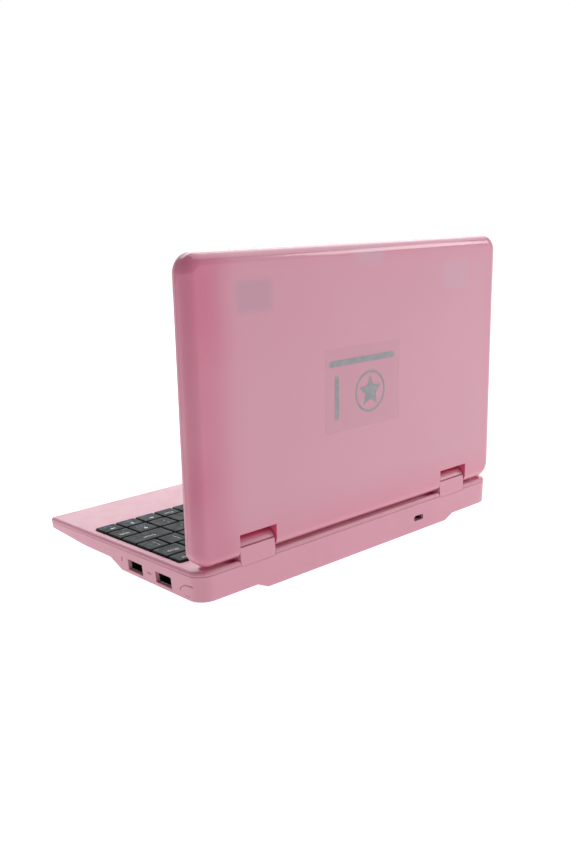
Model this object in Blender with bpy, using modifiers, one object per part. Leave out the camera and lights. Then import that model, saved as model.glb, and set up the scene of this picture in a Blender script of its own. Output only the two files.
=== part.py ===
"""A small toy laptop computer, stood open with its lid leaning back a little.

Metres, +Z up. The user sits on the -Y side, and +X is the user's right. The origin is on the surface
that the feet stand on, under the middle of the open laptop's box. Three empties carry the frames that
the pieces are placed in: the base, its sloping deck, and the lid, which turns on its hinge line.
"""

import math

import bmesh
import bpy
from mathutils import Matrix, Vector

MM = 0.001
GAP = 0.3 * MM
FAR = 12 * MM  # how far a cutter runs on past what it cuts

# Base
WIDTH = 213 * MM
DEPTH = 146 * MM
FRONT_CORNER = 2.2 * MM
REAR_CORNER = 8.3 * MM
WALL = 1.8 * MM
DRAFT = 0.8 * MM
DECK_MIDDLE = 17.25 * MM
DECK_SLOPE = math.radians(0.746)
DECK_THICK = 2.15 * MM
DECK_RIM = 1.7 * MM
CASE_TOP = -DECK_THICK - GAP
FLOOR = 3.6 * MM
WEDGE_LIP = 10.9 * MM
WEDGE_BELLY = 8.1 * MM
WEDGE_BELLY_Y = -34 * MM
STEP_TOP_Y = -7 * MM
STEP_FOOT_Y = 3.4 * MM
KEEL = 0.6 * MM
KEEL_HALF = 66 * MM
KEEL_FRONT_Y = 49 * MM
KEEL_SPREAD = 2.17  # how far the keel's sides run outwards for each unit they rise
TAB_FOOT = 15.2 * MM

# In and under the base: places are (x, y), and the right-hand one where there are two
FRONT_SCREW = (96 * MM, -60 * MM)
REAR_SCREW = (96 * MM, 62 * MM)
SCREW_HEAD = (2.2 * MM, 0.8 * MM)
SCREW_RADIUS = 1.1 * MM
SCREW_SINK = 1.1 * MM
FEET = {"front": (96 * MM, 9 * MM, FLOOR, 4.5 * MM), "rear": (58 * MM, 64 * MM, KEEL, 5 * MM)}
FOOT_SEAT = 0.9 * MM
HATCH = ((-70 * MM, 14 * MM), (10 * MM, 36 * MM))
HATCH_CORNER = 2.7 * MM
AIR_SLOT = (1.6 * MM, 18 * MM)
AIR_SLOTS_START = (30 * MM, 16 * MM)
AIR_SLOT_STEP = 6 * MM
BOARD = ((14 * MM, 7 * MM), (103 * MM, 60 * MM))
BOARD_THICK = 1.1 * MM
BATTERY = ((-82 * MM, 10 * MM), (10 * MM, 58 * MM))
BATTERY_TOP = 11.6 * MM

# Hinge
HINGE_Y = 67.6 * MM
HINGE_Z = 22.8 * MM
KNUCKLE = (61 * MM, 82 * MM)
KNUCKLE_RADIUS = 5.4 * MM
KNUCKLE_WALL = 1.6 * MM
TAB_TOP = 24.3 * MM
TROUGH_RADIUS = 6 * MM
TROUGH_HALF = 98.3 * MM
PIN_RADIUS = 1.25 * MM
BARREL_RADIUS = 3.3 * MM
BARREL = (64 * MM, 79 * MM)
PIN = (57 * MM + GAP, 80 * MM)
PIN_HEAD = (2.4 * MM, 0.7 * MM)
ARM = (40 * MM, 57 * MM)
EAR_THICK = 1.4 * MM

# Lid, in its own frame: closed and flat, the hinge line at 0, its front edge at -Y, its outer face up
LID_LEAN = math.radians(3.2)
LID_HEIGHT = 141.3 * MM
LID_REAR = 3.6 * MM
LID_FRONT = LID_REAR - LID_HEIGHT
LID_OUTER = 6.27 * MM
LID_INNER = -3.33 * MM
BEZEL_THICK = 1.6 * MM
BEZEL_BACK = LID_INNER + BEZEL_THICK
COVER_EDGE = BEZEL_BACK + GAP
LID_CORNER = 9 * MM
LID_ROUND = 5.5 * MM
NOTCH = (60.5 * MM, 82.5 * MM)
NOTCH_DEPTH = 12.2 * MM
BEZEL_NOTCH_DEPTH = 9.4 * MM
SCREEN = (152.4 * MM, 91.4 * MM)
SCREEN_Y = -68.4 * MM
PANEL = (165 * MM, 104 * MM, 4.2 * MM)
CAMERA_Y = -131.4 * MM
CAMERA_SIZE = (18 * MM, 6 * MM, 3.6 * MM)
CAMERA_LENS = 2.2 * MM
BUMPER = (96 * MM, -130 * MM)
BUMPER_RADIUS = 2.3 * MM
SPEAKER = (85 * MM, 103 * MM)
SPEAKER_SIZE = (40 * MM, 4 * MM)
SPEAKER_SLOTS = (84 * MM, 100 * MM)
SPEAKER_SLOT = (1.4 * MM, 4 * MM)
ANTENNA = (60 * MM, 81 * MM)
ANTENNA_Y = (-124 * MM, -110 * MM)
ANTENNA_Z = (3.2 * MM, 3.8 * MM)

# Keyboard, in the deck's frame
KEY_FIELD = (204.8 * MM, -29.0 * MM)
KEY_TOP = 0.9 * MM
KEY_FOOT = -1.4 * MM
KEY_SPACE = 0.8 * MM
KEY_TAPER = (0.3 * MM, 0.4 * MM)
KEY_TRAVEL = 1.5 * MM
WEB = 0.5 * MM
SMALL = 12.2 * MM  # the cell of a narrow key
MAT_TOP = KEY_FOOT - KEY_TRAVEL - GAP
MAT_THICK = 0.4 * MM
TRAY_FLOOR = 0.8 * MM
TRAY_WALL = (1.4 * MM, 2 * MM)

# Let into the deck: (low x, front y, high x, rear y)
TOUCHPAD = (-31 * MM, -58 * MM, 17 * MM, -33.5 * MM)
BUTTONS_Y = (-66.5 * MM, -60.5 * MM)
LIGHT_BAR = (70 * MM, 57.6 * MM, 90 * MM, 59.2 * MM)
POWER_BUTTON = (-88 * MM, 58.4 * MM, 3.6 * MM)

# Ports: the middle of each along the side, and its height above the surface
USB_Y = (17.4 * MM, 42.7 * MM)
USB_Z = 8.3 * MM
USB_SIZE = (13.8 * MM, 12.8 * MM, 5.0 * MM)
USB_INSET = 1.9 * MM  # from the case's full width to the socket's mouth
USB_SHEET = 0.35 * MM
TONGUE_HALF = 5.2 * MM
JACK_Z = 9.2 * MM
JACK_INSET = 0.9 * MM
JACKS = (("power_jack", 52 * MM, 3.4 * MM, 2.7 * MM), ("headphone_jack", 40 * MM, 2.9 * MM, 1.75 * MM))
JACK_PIN = 0.9 * MM
CARD_Y = (10 * MM, 34 * MM)
CARD_Z = (7.4 * MM, 10.6 * MM)
CARD_LENGTH = 22 * MM
CARD_WALL = (1.5 * MM, 0.6 * MM, 0.5 * MM)
LOCK_SLOT = (-43 * MM, 7.9 * MM, 7.5 * MM, 3.0 * MM)

# The open lid's rear face sets the back of the whole, and the base sets the front
LID_BACK = (
    HINGE_Y
    + (-LID_FRONT - LID_ROUND) * math.sin(LID_LEAN)
    + (LID_OUTER - LID_ROUND) * math.cos(LID_LEAN)
    + LID_ROUND
)
CENTRE_Y = (DEPTH / 2 - LID_BACK) / 2

LOOKS = {
    "pink": ((0.86, 0.47, 0.57), 0.35, 0.0),
    "pink_gloss": ((0.84, 0.38, 0.50), 0.12, 0.0),
    "black": ((0.02, 0.02, 0.022), 0.5, 0.0),
    "key": ((0.03, 0.032, 0.036), 0.45, 0.0),
    "steel": ((0.62, 0.61, 0.58), 0.3, 1.0),
    "gold": ((0.83, 0.62, 0.30), 0.3, 1.0),
    "board": ((0.02, 0.16, 0.07), 0.45, 0.0),
    "rubber": ((0.03, 0.03, 0.03), 0.85, 0.0),
    "wrap": ((0.05, 0.08, 0.20), 0.4, 0.0),
    "glass": ((0.01, 0.011, 0.013), 0.08, 0.0),
    "lens": ((0.75, 0.85, 0.95), 0.2, 0.0),
}


def clear_scene():
    for obj in list(bpy.data.objects):
        bpy.data.objects.remove(obj, do_unlink=True)


def new_collection(name):
    collection = bpy.data.collections.new(name)
    bpy.context.scene.collection.children.link(collection)
    return collection


def new_empty(name, location, parent=None, turn=0.0):
    empty = bpy.data.objects.new(name, None)
    empty.location = location
    empty.rotation_euler.x = turn
    empty.parent = parent
    PARTS.objects.link(empty)
    return empty


def new_material(name, look):
    colour, roughness, metallic = LOOKS[look]
    material = bpy.data.materials.new(name)
    material.use_nodes = True
    shader = material.node_tree.nodes["Principled BSDF"]
    shader.inputs["Base Color"].default_value = (*colour, 1.0)
    shader.inputs["Roughness"].default_value = roughness
    shader.inputs["Metallic"].default_value = metallic
    return material


def add(name, mesh, location, parent, look):
    """An object of its own. One with no look is a cutter or a filler for a Boolean, and isn't rendered."""
    obj = bpy.data.objects.new(name, mesh)
    obj.location = location
    obj.parent = parent
    if look:
        mesh.materials.append(new_material(name, look))
        PARTS.objects.link(obj)
    else:
        obj.hide_render = True
        obj.display_type = "WIRE"
        CUTTERS.objects.link(obj)
    return obj


def mesh_from(name, bm):
    bmesh.ops.recalc_face_normals(bm, faces=bm.faces)
    mesh = bpy.data.meshes.new(name)
    bm.to_mesh(mesh)
    bm.free()
    return mesh


def upright_edges(bm, side):
    """The upright edges on the front (side -1) or the rear (side 1)."""
    found = []
    for edge in bm.edges:
        along = edge.verts[0].co - edge.verts[1].co
        if abs(along.z) > 0.5 * along.length and edge.verts[0].co.y * side > 0:
            found.append(edge)
    return found


def top_edges(bm):
    top = max(vert.co.z for vert in bm.verts) - 1e-6
    return [edge for edge in bm.edges if all(vert.co.z > top for vert in edge.verts)]


def block(
    name, low, high, parent, look=None, corners=(0, 0), rim=0, rim_steps=3, taper=(0, 0), foot=(0, 0)
):
    """A box between two corner points. Its front and rear upright edges and its top edge can be rounded,
    and its top or its foot can be drawn in by a distance along X and Y."""
    low, high = Vector(low), Vector(high)
    size = high - low
    bm = bmesh.new()
    bmesh.ops.create_cube(bm, size=1.0, matrix=Matrix.Diagonal((*size, 1)))
    for side, radius in zip((-1, 1), corners):
        if radius:
            edges = upright_edges(bm, side)
            bmesh.ops.bevel(bm, geom=edges, offset=radius, segments=5, profile=0.5, affect="EDGES")
    for vert in bm.verts:
        drawn = taper if vert.co.z > 0 else foot
        vert.co.x *= 1 - 2 * drawn[0] / size.x
        vert.co.y *= 1 - 2 * drawn[1] / size.y
    if rim:
        bmesh.ops.bevel(
            bm, geom=top_edges(bm), offset=rim, segments=rim_steps, profile=0.5, affect="EDGES"
        )
    return add(name, mesh_from(name, bm), (low + high) / 2, parent, look)


def rod(name, radius, start, end, parent, look=None, segments=24):
    """A cylinder between two points."""
    start, end = Vector(start), Vector(end)
    turn = (end - start).to_track_quat("Z", "Y").to_matrix().to_4x4()
    bm = bmesh.new()
    bmesh.ops.create_cone(
        bm, cap_ends=True, segments=segments, radius1=radius, radius2=radius,
        depth=(end - start).length, matrix=turn,
    )
    obj = add(name, mesh_from(name, bm), (start + end) / 2, parent, look)
    smooth(obj)
    return obj


def lathe(name, profile, location, parent, look, turn=None, steps=20):
    """A turned piece: (radius, height) points down its outer side, from the axis to the axis."""
    mesh = bpy.data.meshes.new(name)
    edges = [(i, i + 1) for i in range(len(profile) - 1)]
    mesh.from_pydata([(radius, 0, height) for radius, height in profile], edges, [])
    obj = add(name, mesh, location, parent, look)
    if turn:
        obj.rotation_euler = turn
    screw = obj.modifiers.new("turned", "SCREW")
    screw.steps = screw.render_steps = steps
    screw.use_merge_vertices = True
    screw.merge_threshold = 1e-5
    screw.use_smooth_shade = True
    return obj


def prism(name, outline, low_x, high_x, parent, look=None):
    """A flat outline of (y, z) points made solid from low_x to high_x."""
    curve = bpy.data.curves.new(name, "CURVE")
    curve.dimensions = "2D"
    curve.fill_mode = "BOTH"
    curve.extrude = (high_x - low_x) / 2
    spline = curve.splines.new("POLY")
    spline.points.add(len(outline) - 1)
    for point, (y, z) in zip(spline.points, outline):
        point.co = (y, z, 0, 1)
    spline.use_cyclic_u = True
    guide = bpy.data.objects.new(name, curve)
    CUTTERS.objects.link(guide)
    bpy.context.view_layer.update()
    solid = bpy.data.meshes.new_from_object(guide.evaluated_get(bpy.context.evaluated_depsgraph_get()))
    bpy.data.objects.remove(guide)
    bm = bmesh.new()
    bm.from_mesh(solid)
    bmesh.ops.remove_doubles(bm, verts=bm.verts, dist=1e-6)
    stand = Matrix(((0, 0, 1, 0), (1, 0, 0, 0), (0, 1, 0, 0), (0, 0, 0, 1)))
    bmesh.ops.transform(bm, matrix=stand, verts=bm.verts)
    return add(name, mesh_from(name, bm), ((low_x + high_x) / 2, 0, 0), parent, look)


def smooth(obj):
    obj.data.shade_smooth()
    obj.data.set_sharp_from_angle(angle=math.radians(35))


def combine(obj, other, operation):
    modifier = obj.modifiers.new(f"{operation.lower()} {other.name}", "BOOLEAN")
    modifier.operation = operation
    modifier.object = other
    modifier.solver = "EXACT"


def cut(obj, *cutters):
    for cutter in cutters:
        combine(obj, cutter, "DIFFERENCE")


def join(obj, *fillers):
    for filler in fillers:
        combine(obj, filler, "UNION")


def across(side, low, high):
    """The span from low to high on the right (side 1), or its mirror image on the left (side -1)."""
    return (low, high) if side > 0 else (-high, -low)


def side_name(side):
    return "right" if side > 0 else "left"


def deck_height(y):
    return DECK_MIDDLE + y * math.tan(DECK_SLOPE)


# ---------------------------------------------------------------- base shells


def case_form(name, inset, top, look=None):
    """The lower case's outer form, or the hollow inside it when inset by the wall."""
    reach = DEPTH / 2 + 5 * MM
    step = 0.45 * inset
    floor = [
        (-reach, WEDGE_LIP),
        (WEDGE_BELLY_Y, WEDGE_BELLY),
        (STEP_TOP_Y + step, WEDGE_BELLY),
        (STEP_FOOT_Y + step, FLOOR),
        (reach, FLOOR),
    ]
    outline = [(y, z + inset) for y, z in floor] + [(reach, top), (-reach, top)]
    form = prism(name, outline, -WIDTH / 2 - FAR, WIDTH / 2 + FAR, BASE, look)
    keel_top = KEEL + 5 * MM
    spread = KEEL_SPREAD * (keel_top - KEEL)
    keel = block(
        f"{name} keel",
        (-KEEL_HALF - spread + inset, KEEL_FRONT_Y - spread + inset, KEEL + inset),
        (KEEL_HALF + spread - inset, reach + spread, keel_top),
        BASE, foot=(spread, spread),
    )
    plan = block(
        f"{name} plan",
        (-WIDTH / 2 + inset, -DEPTH / 2 + inset, KEEL - FAR * bool(inset)),
        (WIDTH / 2 - inset, DEPTH / 2 - inset, top),
        BASE, corners=(max(FRONT_CORNER - inset, 0), REAR_CORNER - inset), foot=(DRAFT, DRAFT),
    )
    join(form, keel)
    combine(form, plan, "INTERSECT")
    return form


def screw_places():
    """(name, x, y, height of the underside there) of the four screws that hold the case together."""
    wedge = (WEDGE_BELLY - WEDGE_LIP) / (WEDGE_BELLY_Y + DEPTH / 2 + 5 * MM)
    front_z = WEDGE_LIP + wedge * (FRONT_SCREW[1] + DEPTH / 2 + 5 * MM)
    for side in (-1, 1):
        yield f"front_{side_name(side)}", side * FRONT_SCREW[0], FRONT_SCREW[1], front_z
        yield f"rear_{side_name(side)}", side * REAR_SCREW[0], REAR_SCREW[1], FLOOR


def make_case_screws(case):
    head, head_height = SCREW_HEAD
    for place, x, y, under in screw_places():
        top = deck_height(y) - DECK_THICK - GAP
        seat = under + SCREW_SINK
        boss = rod(f"boss {place}", 3.2 * MM, (x, y, seat + 0.1 * MM), (x, y, top), BASE)
        join(case, boss)
        recess = rod(f"screw recess {place}", head + 0.4 * MM, (x, y, under - FAR), (x, y, seat), BASE)
        bore = rod(
            f"screw bore {place}", SCREW_RADIUS + 0.4 * MM, (x, y, under), (x, y, top + FAR), BASE,
            segments=16,
        )
        cut(case, recess, bore)
        length = top - under - 1.0 * MM
        profile = [
            (0, length), (SCREW_RADIUS, length), (SCREW_RADIUS, head_height),
            (head, head_height - 0.2 * MM), (head, 0), (0, 0),
        ]
        lathe(f"case_screw_{place}", profile, (x, y, under + GAP / 2), BASE, "steel", steps=16)


def make_bottom_case():
    case = case_form("bottom_case", 0, 16.5 * MM, "pink")
    trim = block("deck trim", (-WIDTH, -DEPTH, CASE_TOP), (WIDTH, DEPTH, 30 * MM), DECK)
    cut(case, trim, case_form("case hollow", WALL, 22 * MM))
    for side in (-1, 1):
        low_x, high_x = across(side, *KNUCKLE)
        tab = block(
            f"tab {side_name(side)}", (low_x, DEPTH / 2 - WALL, TAB_FOOT),
            (high_x, DEPTH / 2, TAB_TOP), BASE,
        )
        join(case, tab)
    make_case_screws(case)
    return case


def make_feet(case):
    """Two short feet under the keel and two tall ones under the front of the deep part."""
    for row, (x, y, under, radius) in FEET.items():
        for side in (-1, 1):
            name = f"foot_{row}_{side_name(side)}"
            seat = under + FOOT_SEAT
            cut(case, rod(
                f"{name} pocket", radius + GAP, (side * x, y, under - FAR), (side * x, y, seat), BASE,
                segments=20,
            ))
            top = seat - GAP
            profile = [(0, top), (radius, top), (radius, 0.5 * MM), (radius - 0.5 * MM, 0), (0, 0)]
            lathe(name, profile, (side * x, y, 0), BASE, "rubber")


def make_hatch(case):
    """A plain cover in the underside, over the battery's connector, and a row of air slots beside it."""
    low, high = Vector((*HATCH[0], FLOOR)), Vector((*HATCH[1], FLOOR + WALL))
    around = Vector((GAP, GAP, FAR))
    round_ = HATCH_CORNER + GAP
    cut(case, block("hatch opening", low - around, high + around, BASE, corners=(round_, round_)))
    block("hatch_cover", low, high, BASE, "pink", corners=(HATCH_CORNER, HATCH_CORNER))
    width, length = AIR_SLOT
    start_x, y = AIR_SLOTS_START
    for i in range(6):
        x = start_x + AIR_SLOT_STEP * i
        cut(case, block(
            f"air slot {i}", (x, y, FLOOR - FAR), (x + width, y + length, FLOOR + WALL + MM), BASE
        ))


def make_top_case():
    half_x, half_y = WIDTH / 2, DEPTH / 2
    case = block(
        "top_case", (-half_x, -half_y, -DECK_THICK), (half_x, half_y, 0), DECK, "pink",
        corners=(FRONT_CORNER, REAR_CORNER), rim=DECK_RIM,
    )
    quarter = [math.pi / 2 * i / 8 for i in range(9)]
    end = [
        (TROUGH_RADIUS * math.sin(a), TROUGH_HALF + TROUGH_RADIUS * math.cos(a)) for a in quarter
    ]
    end[0] = (0, TROUGH_HALF + TROUGH_RADIUS)
    profile = end + [(radius, -height) for radius, height in reversed(end)]
    cut(case, lathe(
        "lid trough", profile, (0, HINGE_Y, HINGE_Z), BASE, None, turn=(0, math.pi / 2, 0), steps=48
    ))
    for side in (-1, 1):
        make_knuckle(case, side)
    return case


def knuckle_outline(radius, foot):
    """Straight up from foot, and over the hinge line in a half circle."""
    arc = [math.pi * i / 12 for i in range(13)]
    over = [(HINGE_Y - radius * math.cos(a), HINGE_Z + radius * math.sin(a)) for a in arc]
    return [(HINGE_Y - radius, foot), *over, (HINGE_Y + radius, foot)]


def make_knuckle(case, side):
    word = side_name(side)
    low_x, high_x = across(side, *KNUCKLE)
    deck = deck_height(HINGE_Y)
    shell = prism(
        f"knuckle {word}", knuckle_outline(KNUCKLE_RADIUS, deck - 1.7 * MM), low_x, high_x, BASE
    )
    hollow = prism(
        f"knuckle hollow {word}", knuckle_outline(KNUCKLE_RADIUS - KNUCKLE_WALL, deck - FAR),
        low_x + KNUCKLE_WALL, high_x - KNUCKLE_WALL, BASE,
    )
    tab_space = block(
        f"tab space {word}", (low_x - GAP, DEPTH / 2 - WALL - GAP, deck - FAR),
        (high_x + GAP, DEPTH / 2 + FAR, TAB_TOP + GAP), BASE,
    )
    inner = side * KNUCKLE[0]
    pin_hole = rod(
        f"pin hole {word}", PIN_RADIUS + 2 * GAP, (inner - side * MM, HINGE_Y, HINGE_Z),
        (inner + side * (KNUCKLE_WALL + MM), HINGE_Y, HINGE_Z), BASE, segments=20,
    )
    join(case, shell)
    cut(case, hollow, tab_space, pin_hole)


# ---------------------------------------------------------------- ports and inner parts


def make_usb_socket(case, name, y):
    """A steel shell open at the side wall, with its contact tongue inside."""
    length, width, height = USB_SIZE
    outer_x = WIDTH / 2 - USB_INSET
    low = Vector((outer_x - length, y - width / 2, USB_Z - height / 2))
    high = Vector((outer_x, y + width / 2, USB_Z + height / 2))
    socket = block(name, low, high, BASE, "steel")
    hollow = block(
        f"{name} hollow", low + Vector((1.5 * MM, USB_SHEET, USB_SHEET)),
        high + Vector((FAR, -USB_SHEET, -USB_SHEET)), BASE,
    )
    tongue = block(
        f"{name} tongue", (low.x, y - TONGUE_HALF, USB_Z + 0.1 * MM),
        (high.x - 1.6 * MM, y + TONGUE_HALF, high.z - 0.9 * MM), BASE,
    )
    cut(hollow, tongue)
    cut(socket, hollow)
    cut(case, block(
        f"{name} window", (WIDTH / 2 - FAR, low.y - GAP, low.z - GAP),
        (WIDTH / 2 + FAR, high.y + GAP, high.z + GAP), BASE,
    ))


def make_left_ports(case):
    """Power, headphones and a memory card, on the user's left."""
    wall = -WIDTH / 2
    mouth = wall + JACK_INSET
    z = JACK_Z
    for name, y, radius, bore in JACKS:
        body = block(
            name, (mouth + 1.5 * MM, y - 4 * MM, FLOOR + WALL + GAP),
            (mouth + 12 * MM, y + 4 * MM, 13 * MM), BASE, "black",
        )
        nose = rod(f"{name} nose", radius, (mouth, y, z), (mouth + 4 * MM, y, z), BASE)
        hollow = rod(f"{name} bore", bore, (mouth - FAR, y, z), (mouth + 9 * MM, y, z), BASE)
        if name == "power_jack":
            cut(hollow, rod(
                f"{name} pin", JACK_PIN, (mouth + MM, y, z), (mouth + 11 * MM, y, z), BASE, segments=12
            ))
        join(body, nose)
        cut(body, hollow)
        cut(case, rod(
            f"{name} window", radius + GAP, (wall - FAR, y, z), (wall + FAR / 2, y, z), BASE
        ))
    low = Vector((mouth, CARD_Y[0], CARD_Z[0]))
    high = Vector((mouth + CARD_LENGTH, CARD_Y[1], CARD_Z[1]))
    slot = block("card_slot", low, high, BASE, "steel")
    back, side, roof = CARD_WALL
    cut(slot, block(
        "card slot hollow", low + Vector((-FAR, side, roof)), high - Vector((back, side, roof)), BASE
    ))
    cut(case, block(
        "card slot window", low - Vector((FAR, GAP, GAP)), high + Vector((-FAR, GAP, GAP)), BASE
    ))


def make_lock_slot(case):
    x, z, width, height = LOCK_SLOT
    rear = DEPTH / 2
    plate = block(
        "lock_slot_plate", (x - 8 * MM, rear - WALL - 2.2 * MM, FLOOR + WALL + GAP),
        (x + 8 * MM, rear - WALL - 1.0 * MM, 13 * MM), BASE, "steel",
    )
    for owner, draw in ((case, 0), (plate, 0.3 * MM)):
        opening = block(
            f"lock slot in {owner.name}", (x - width / 2 + draw, z - height / 2 + draw, -FAR),
            (x + width / 2 - draw, z + height / 2 - draw, FAR), BASE, corners=(1.2 * MM, 1.2 * MM),
        )
        opening.location = (x, rear, z)
        opening.rotation_euler.x = math.pi / 2
        cut(owner, opening)


def make_inner_parts():
    """The mainboard, with a corner cut away for the rear screw, and the battery pack."""
    board_z = USB_Z + USB_SIZE[2] / 2 + GAP
    board = block(
        "mainboard", (*BOARD[0], board_z), (*BOARD[1], board_z + BOARD_THICK), BASE, "board"
    )
    corner = Vector((*REAR_SCREW, 0)) - Vector((4 * MM, 7 * MM, 0))
    cut(board, block("board corner", corner, corner + Vector((FAR, FAR, 30 * MM)), BASE))
    block(
        "battery_pack", (*BATTERY[0], FLOOR + WALL + GAP), (*BATTERY[1], BATTERY_TOP), BASE, "wrap",
        rim=1.5 * MM,
    )


# ---------------------------------------------------------------- what the deck holds


def key_rows():
    """(row number, front y, depth, [(cell width, name or None)]) from the front row to the function row."""
    def run(count, width):
        return [(width, None)] * count

    def fill(fixed, count):
        return (KEY_FIELD[0] - fixed) / count

    modifier = 14.6 * MM
    caps, shift, enter, back = 20 * MM, 36.6 * MM, 2 * SMALL, 15.2 * MM
    space = KEY_FIELD[0] - 5 * modifier - 5 * SMALL
    front = (
        run(5, modifier) + [(space, "space_bar")] + run(2, SMALL)
        + [(SMALL, "arrow_left_key"), (SMALL, "arrow_down_key"), (SMALL, "arrow_right_key")]
    )
    lower = (
        [(shift, "shift_left_key")] + run(9, fill(shift + 3 * SMALL, 9)) + run(1, SMALL)
        + [(SMALL, "arrow_up_key"), (SMALL, "shift_right_key")]
    )
    home = [(caps, "caps_lock_key")] + run(11, fill(caps + enter, 11)) + [(enter, "enter_key")]
    upper = run(1, caps) + run(11, fill(caps + 2 * SMALL, 11)) + run(2, SMALL)
    digits = run(13, fill(back, 13)) + [(back, "backspace_key")]
    functions = run(16, fill(0, 16))
    depths = (12.8 * MM, 14.4 * MM, 14.4 * MM, 14.4 * MM, 14.4 * MM, 11.0 * MM)
    y = KEY_FIELD[1]
    for number, (keys, depth) in enumerate(zip((front, lower, home, upper, digits, functions), depths)):
        yield 6 - number, y, depth, keys
        y += depth


def key_block(name, x, width, y, depth, look=None):
    """One key in its cell: a block that narrows towards its top."""
    side = KEY_SPACE / 2
    return block(
        name, (x + side, y + side, KEY_FOOT), (x + width - side, y + depth - side, KEY_TOP),
        DECK, look, taper=KEY_TAPER,
    )


def make_key_strip(name, keys, y, depth):
    """Ordinary keys side by side, joined by a thin web at their feet."""
    inset = KEY_SPACE / 2 + 1 * MM
    strip = block(
        name, (keys[0][0] + inset, y + inset, KEY_FOOT),
        (sum(keys[-1]) - inset, y + depth - inset, KEY_FOOT + WEB), DECK, "key",
    )
    for number, (x, width) in enumerate(keys):
        join(strip, key_block(f"{name} {number}", x, width, y, depth))


def make_keys():
    for number, y, depth, keys in key_rows():
        x = -KEY_FIELD[0] / 2
        strips = [[]]
        for width, name in keys:
            if name:
                key_block(name, x, width, y, depth, "key")
                strips.append([])
            else:
                strips[-1].append((x, width))
            x += width
        strips = [strip for strip in strips if strip]
        ends = [""] if len(strips) == 1 else ["_left", "_right"]
        for strip, end in zip(strips, ends):
            make_key_strip(f"key_row_{number}{end}", strip, y, depth)


def make_keyboard(case):
    half = KEY_FIELD[0] / 2
    front = KEY_FIELD[1]
    rear = front + sum(depth for _, _, depth, _ in key_rows())
    cut(case, block(
        "keyboard opening", (-half, front - GAP, -FAR), (half, rear + GAP, FAR), DECK,
        corners=(2 * MM, 2 * MM),
    ))
    mat_foot = MAT_TOP - MAT_THICK
    tray_foot = mat_foot - GAP - TRAY_FLOOR
    wall_x, wall_y = TRAY_WALL
    tray = block(
        "keyboard_tray", (-half - wall_x, front - wall_y, tray_foot),
        (half + wall_x, rear + wall_y, CASE_TOP), DECK, "black",
    )
    cut(tray, block(
        "tray pocket", (-half - GAP, front - 2 * GAP, tray_foot + TRAY_FLOOR),
        (half + GAP, rear + 2 * GAP, FAR), DECK,
    ))
    block("keyboard_membrane", (-half, front, mat_foot), (half, rear, MAT_TOP), DECK, "rubber")
    make_keys()


def make_in_deck(case, name, low, high, look, corner=0.6 * MM, rim=0.0):
    """A piece let into the deck, in an opening a gap wider than it all round."""
    low, high = Vector(low), Vector(high)
    around = Vector((GAP, GAP, FAR))
    round_ = (corner + GAP, corner + GAP)
    cut(case, block(f"{name} opening", low - around, high + around, DECK, corners=round_))
    block(name, low, high, DECK, look, corners=(corner, corner), rim=rim, rim_steps=2)


def make_touchpad(case):
    low_x, front, high_x, rear = TOUCHPAD
    make_in_deck(
        case, "touchpad", (low_x, front, -1.6 * MM), (high_x, rear, -0.4 * MM), "pink", corner=1.5 * MM
    )
    middle, half = (low_x + high_x) / 2, (high_x - low_x) / 2
    for side in (-1, 1):
        start, end = across(side, GAP, half)
        make_in_deck(
            case, f"touchpad_button_{side_name(side)}", (middle + start, BUTTONS_Y[0], -1.8 * MM),
            (middle + end, BUTTONS_Y[1], 0.2 * MM), "pink", rim=0.4 * MM,
        )


def make_deck_controls(case):
    """The round power button and the bar of indicator lights, between the keys and the lid."""
    x, y, radius = POWER_BUTTON
    cut(case, rod("power button opening", radius + GAP, (x, y, -FAR), (x, y, FAR), DECK))
    top, foot = 0.3 * MM, -1.8 * MM
    profile = [(0, top), (radius - 0.5 * MM, top), (radius, -0.1 * MM), (radius, foot), (0, foot)]
    lathe("power_button", profile, (x, y, 0), DECK, "steel", steps=24)
    low_x, front, high_x, rear = LIGHT_BAR
    make_in_deck(
        case, "indicator_lens", (low_x, front, -1.6 * MM), (high_x, rear, 0.05 * MM), "lens"
    )


# ---------------------------------------------------------------- hinges


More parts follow.
